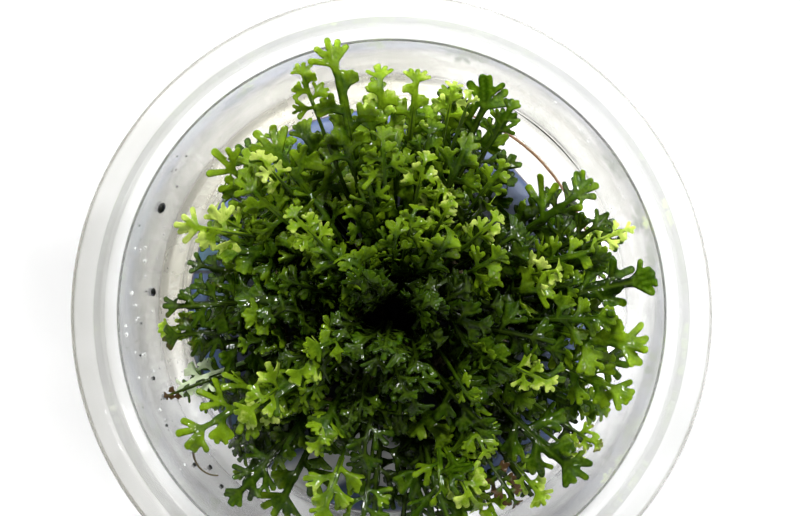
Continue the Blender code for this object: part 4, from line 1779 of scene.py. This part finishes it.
@dataclass(frozen=True)
class Beads:
    """Beads of water on the inside of the wall, drawn out down its slope.

    Attributes:
        name: the piece's name.
        placed: azimuth, height and half the length of single beads.
        count: how many more are scattered.
        azimuths: where those are, in degrees.
        lengths: half their lengths.
        seed: picks their places.
        slim: their width as a share of their length.
        DEEP: their depth as a share of their width.
        CLEAR: how far inside the wall their middles are, as a share of their width.
    """

    name: str
    placed: tuple[tuple[float, float, float], ...]
    count: int
    azimuths: Pair
    lengths: Pair
    seed: int
    slim: Pair = (0.34, 0.6)

    ROWS = 7
    SIDES = 10
    LEAN = 18.0
    DEEP = 0.6
    CLEAR = 0.4
    HEIGHTS = (7.0, 42.0)

    def bead(self, azimuth: float, height: float, long: float, random: np.random.Generator) -> Shell:
        """One bead: a stretched ball, flattened and with part of its back in the wall. Its corners are
        centre - cos(b) long down + sin(b) (cos(a) wide beside + sin(a) deep normal).

        Args:
            azimuth: where it is, in degrees.
            height: its height.
            long: half its length.
            random: gives its width and lean.

        Returns:
            The bead.
        """
        outward, across = compass(azimuth)
        radius = float(Cup.inner_radius(np.array(height)))
        wide = long * random.uniform(*self.slim)
        (foot, low), (top, high) = Cup.wall_foot, Cup.wall_top
        slope = unit(outward * (top - foot) + UP * (high - low))
        lean = math.radians(random.uniform(-self.LEAN, self.LEAN))
        down = slope * math.cos(lean) + across * math.sin(lean)
        beside = np.cross(outward, down)
        rise = np.linspace(0.06, 0.94, self.ROWS)[:, None, None] * math.pi
        angle = round_angles(self.SIDES)[:, None]
        centre = outward * (radius - self.CLEAR * wide) + UP * height
        section = np.cos(angle) * wide * beside + np.sin(angle) * self.DEEP * wide * np.cross(down, beside)
        return swept(centre - np.cos(rise) * long * down + np.sin(rise) * section)

    def build(self, material: Material) -> None:
        """Builds the beads as one piece."""
        random = np.random.default_rng(self.seed)
        shells = [self.bead(*place, random) for place in self.placed]
        for _ in range(self.count):
            place = [random.uniform(*span) for span in (self.azimuths, self.HEIGHTS, self.lengths)]
            shells.append(self.bead(*place, random))
        Shell.joined(shells).piece(self.name, material, "clear_plastic")


DARK_BEADS = (
    (156.0, 27.5, 1.75), (176.0, 12.5, 1.30), (201.0, 15.0, 1.20), (215.0, 9.0, 1.10),
    (218.0, 24.0, 0.75), (196.0, 21.0, 0.70), (143.0, 31.0, 0.50), (190.0, 29.0, 0.45),
    (226.0, 18.0, 0.70), (164.0, 35.0, 0.35), (221.0, 13.0, 0.85), (207.0, 26.0, 0.55),
    (183.0, 24.0, 0.50),
)


@dataclass(frozen=True)
class CreaseShadeLine:
    """A thin dark line in the crease at the foot of the wall, tinted near-black as painted shade."""

    azimuths: Pair = (34.0, 60.0)
    radius: float = 41.35
    height: float = 2.55
    girth: float = 0.13
    rings: int = 40

    def build(self, material: Material) -> None:
        """Builds the line: a tube along an arc, which thins out towards its ends."""
        path = polar(self.radius, np.radians(np.linspace(*self.azimuths, self.rings)), self.height)
        girth = self.girth * np.sin(np.linspace(0.2, math.pi - 0.2, self.rings))
        tube(path, girth, 6).piece("crease_shade_line", material, "clear_plastic")


@dataclass(frozen=True)
class Studio:
    """The pale floor, the light and the camera.

    Attributes:
        camera: the camera's place in metres.
        lens: its focal length on a sensor 36 mm wide.
        sky: strength of the even white light all round.
        zenith: its colour straight above, where the camera stands.
        lamps: the lamps' places in metres, and their power in watts.
        lamp_size: the length of their sides in metres.
        floor_radius, floor_drop, floor_depth: the floor's radius, how far its rim bends down, and
            its thickness, in millimetres.
    """

    camera: tuple[float, float, float] = (0.00132, 0.00886, 0.416)
    lens: float = 104.2
    sky: float = 0.60
    zenith: Colour = (0.04, 0.04, 0.04)
    lamps: tuple[tuple[float, float, float, float], ...] = (
        (0.05, 0.60, 0.64, 5.4),
        (0.58, 0.24, 0.62, 4.2),
        (-0.46, 0.42, 0.62, 2.6),
    )
    lamp_size: float = 0.12
    floor_radius: float = 900.0
    floor_drop: float = 4.0
    floor_depth: float = 3.0

    def build(self) -> None:
        """Builds the floor, the lamps, the sky and the camera."""
        scene = bpy.context.scene
        scene.view_settings.view_transform = "Standard"
        world = bpy.data.worlds.new("white_room")
        world.use_nodes = True
        nodes = Nodes(world.node_tree)
        height = nodes.add("SeparateXYZ", {0: nodes.add("TexCoord").outputs["Generated"]}).outputs["Z"]
        white = (1.0, 1.0, 1.0)
        glow = nodes.ramp(height, ((0.0, white), (0.3, white), (0.6, self.zenith)))
        background = world.node_tree.nodes["Background"]
        world.node_tree.links.new(glow, background.inputs["Color"])
        background.inputs["Strength"].default_value = self.sky
        scene.world = world
        self.floor()
        for number, lamp in enumerate(self.lamps, start=1):
            self.lamp(f"lamp_{number}", *lamp)
        lens = bpy.data.cameras.new("overhead")
        lens.lens = self.lens
        lens.sensor_width = 36.0
        lens.clip_start = 0.01
        view = bpy.data.objects.new("overhead", lens)
        view.location = self.camera
        scene.collection.objects.link(view)
        scene.camera = view

    def lamp(self, name: str, east: float, north: float, height: float, watts: float) -> None:
        """Builds a square lamp that faces the plant.

        Args:
            name: its name.
            east: its place along X.
            north: its place along Y.
            height: its height.
            watts: its power.
        """
        lamp = bpy.data.lights.new(name, "AREA")
        lamp.energy = watts
        lamp.size = self.lamp_size
        light = bpy.data.objects.new(name, lamp)
        light.location = (east, north, height)
        light.rotation_euler = (math.atan2(math.hypot(east, north), height), 0.0, 0.0)
        light.rotation_euler.z = math.atan2(north, east) + math.pi / 2
        bpy.context.scene.collection.objects.link(light)

    def floor(self) -> None:
        """Builds the floor, a level sheet whose rim bends down."""
        share = np.linspace(0.05, 1.0, 12)[:, None] * np.ones(64)
        radii, heights = self.floor_radius * share, -self.floor_drop * share**8
        under = heights - self.floor_depth
        sheet = revolved(np.concatenate([radii, radii[::-1]]), np.concatenate([under, heights[::-1]]))
        sheet.piece("pale_floor", FloorFinish().material(), "gel")


def main() -> None:
    """Builds the studio and every piece of the fern and its cup."""
    logging.basicConfig(level=logging.INFO, format="%(name)s: %(message)s")
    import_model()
    Studio().build()
    Cup().build()
    Gel().build()
    bark = RhizomeFinish().material()
    for rhizome in RHIZOMES:
        rhizome.build(bark)
    Fern().build()
    # The near-black tint is painted shade.
    shaded = BeadFinish("shaded_water", (0.006, 0.007, 0.005), 0.04).material()
    clear = BeadFinish("clear_water", (0.96, 0.97, 0.96), 0.7).material()
    Beads("shaded_beads", DARK_BEADS, 12, (140.0, 235.0), (0.2, 0.45), 4).build(shaded)
    Beads("clear_beads", (), 44, (158.0, 222.0), (0.18, 0.42), 9, (0.6, 0.95)).build(clear)
    Beads("far_beads", (), 26, (24.0, 66.0), (0.14, 0.32), 12, (0.6, 0.95)).build(clear)
    CreaseShadeLine().build(shaded)


if __name__ == "__main__":
    main()
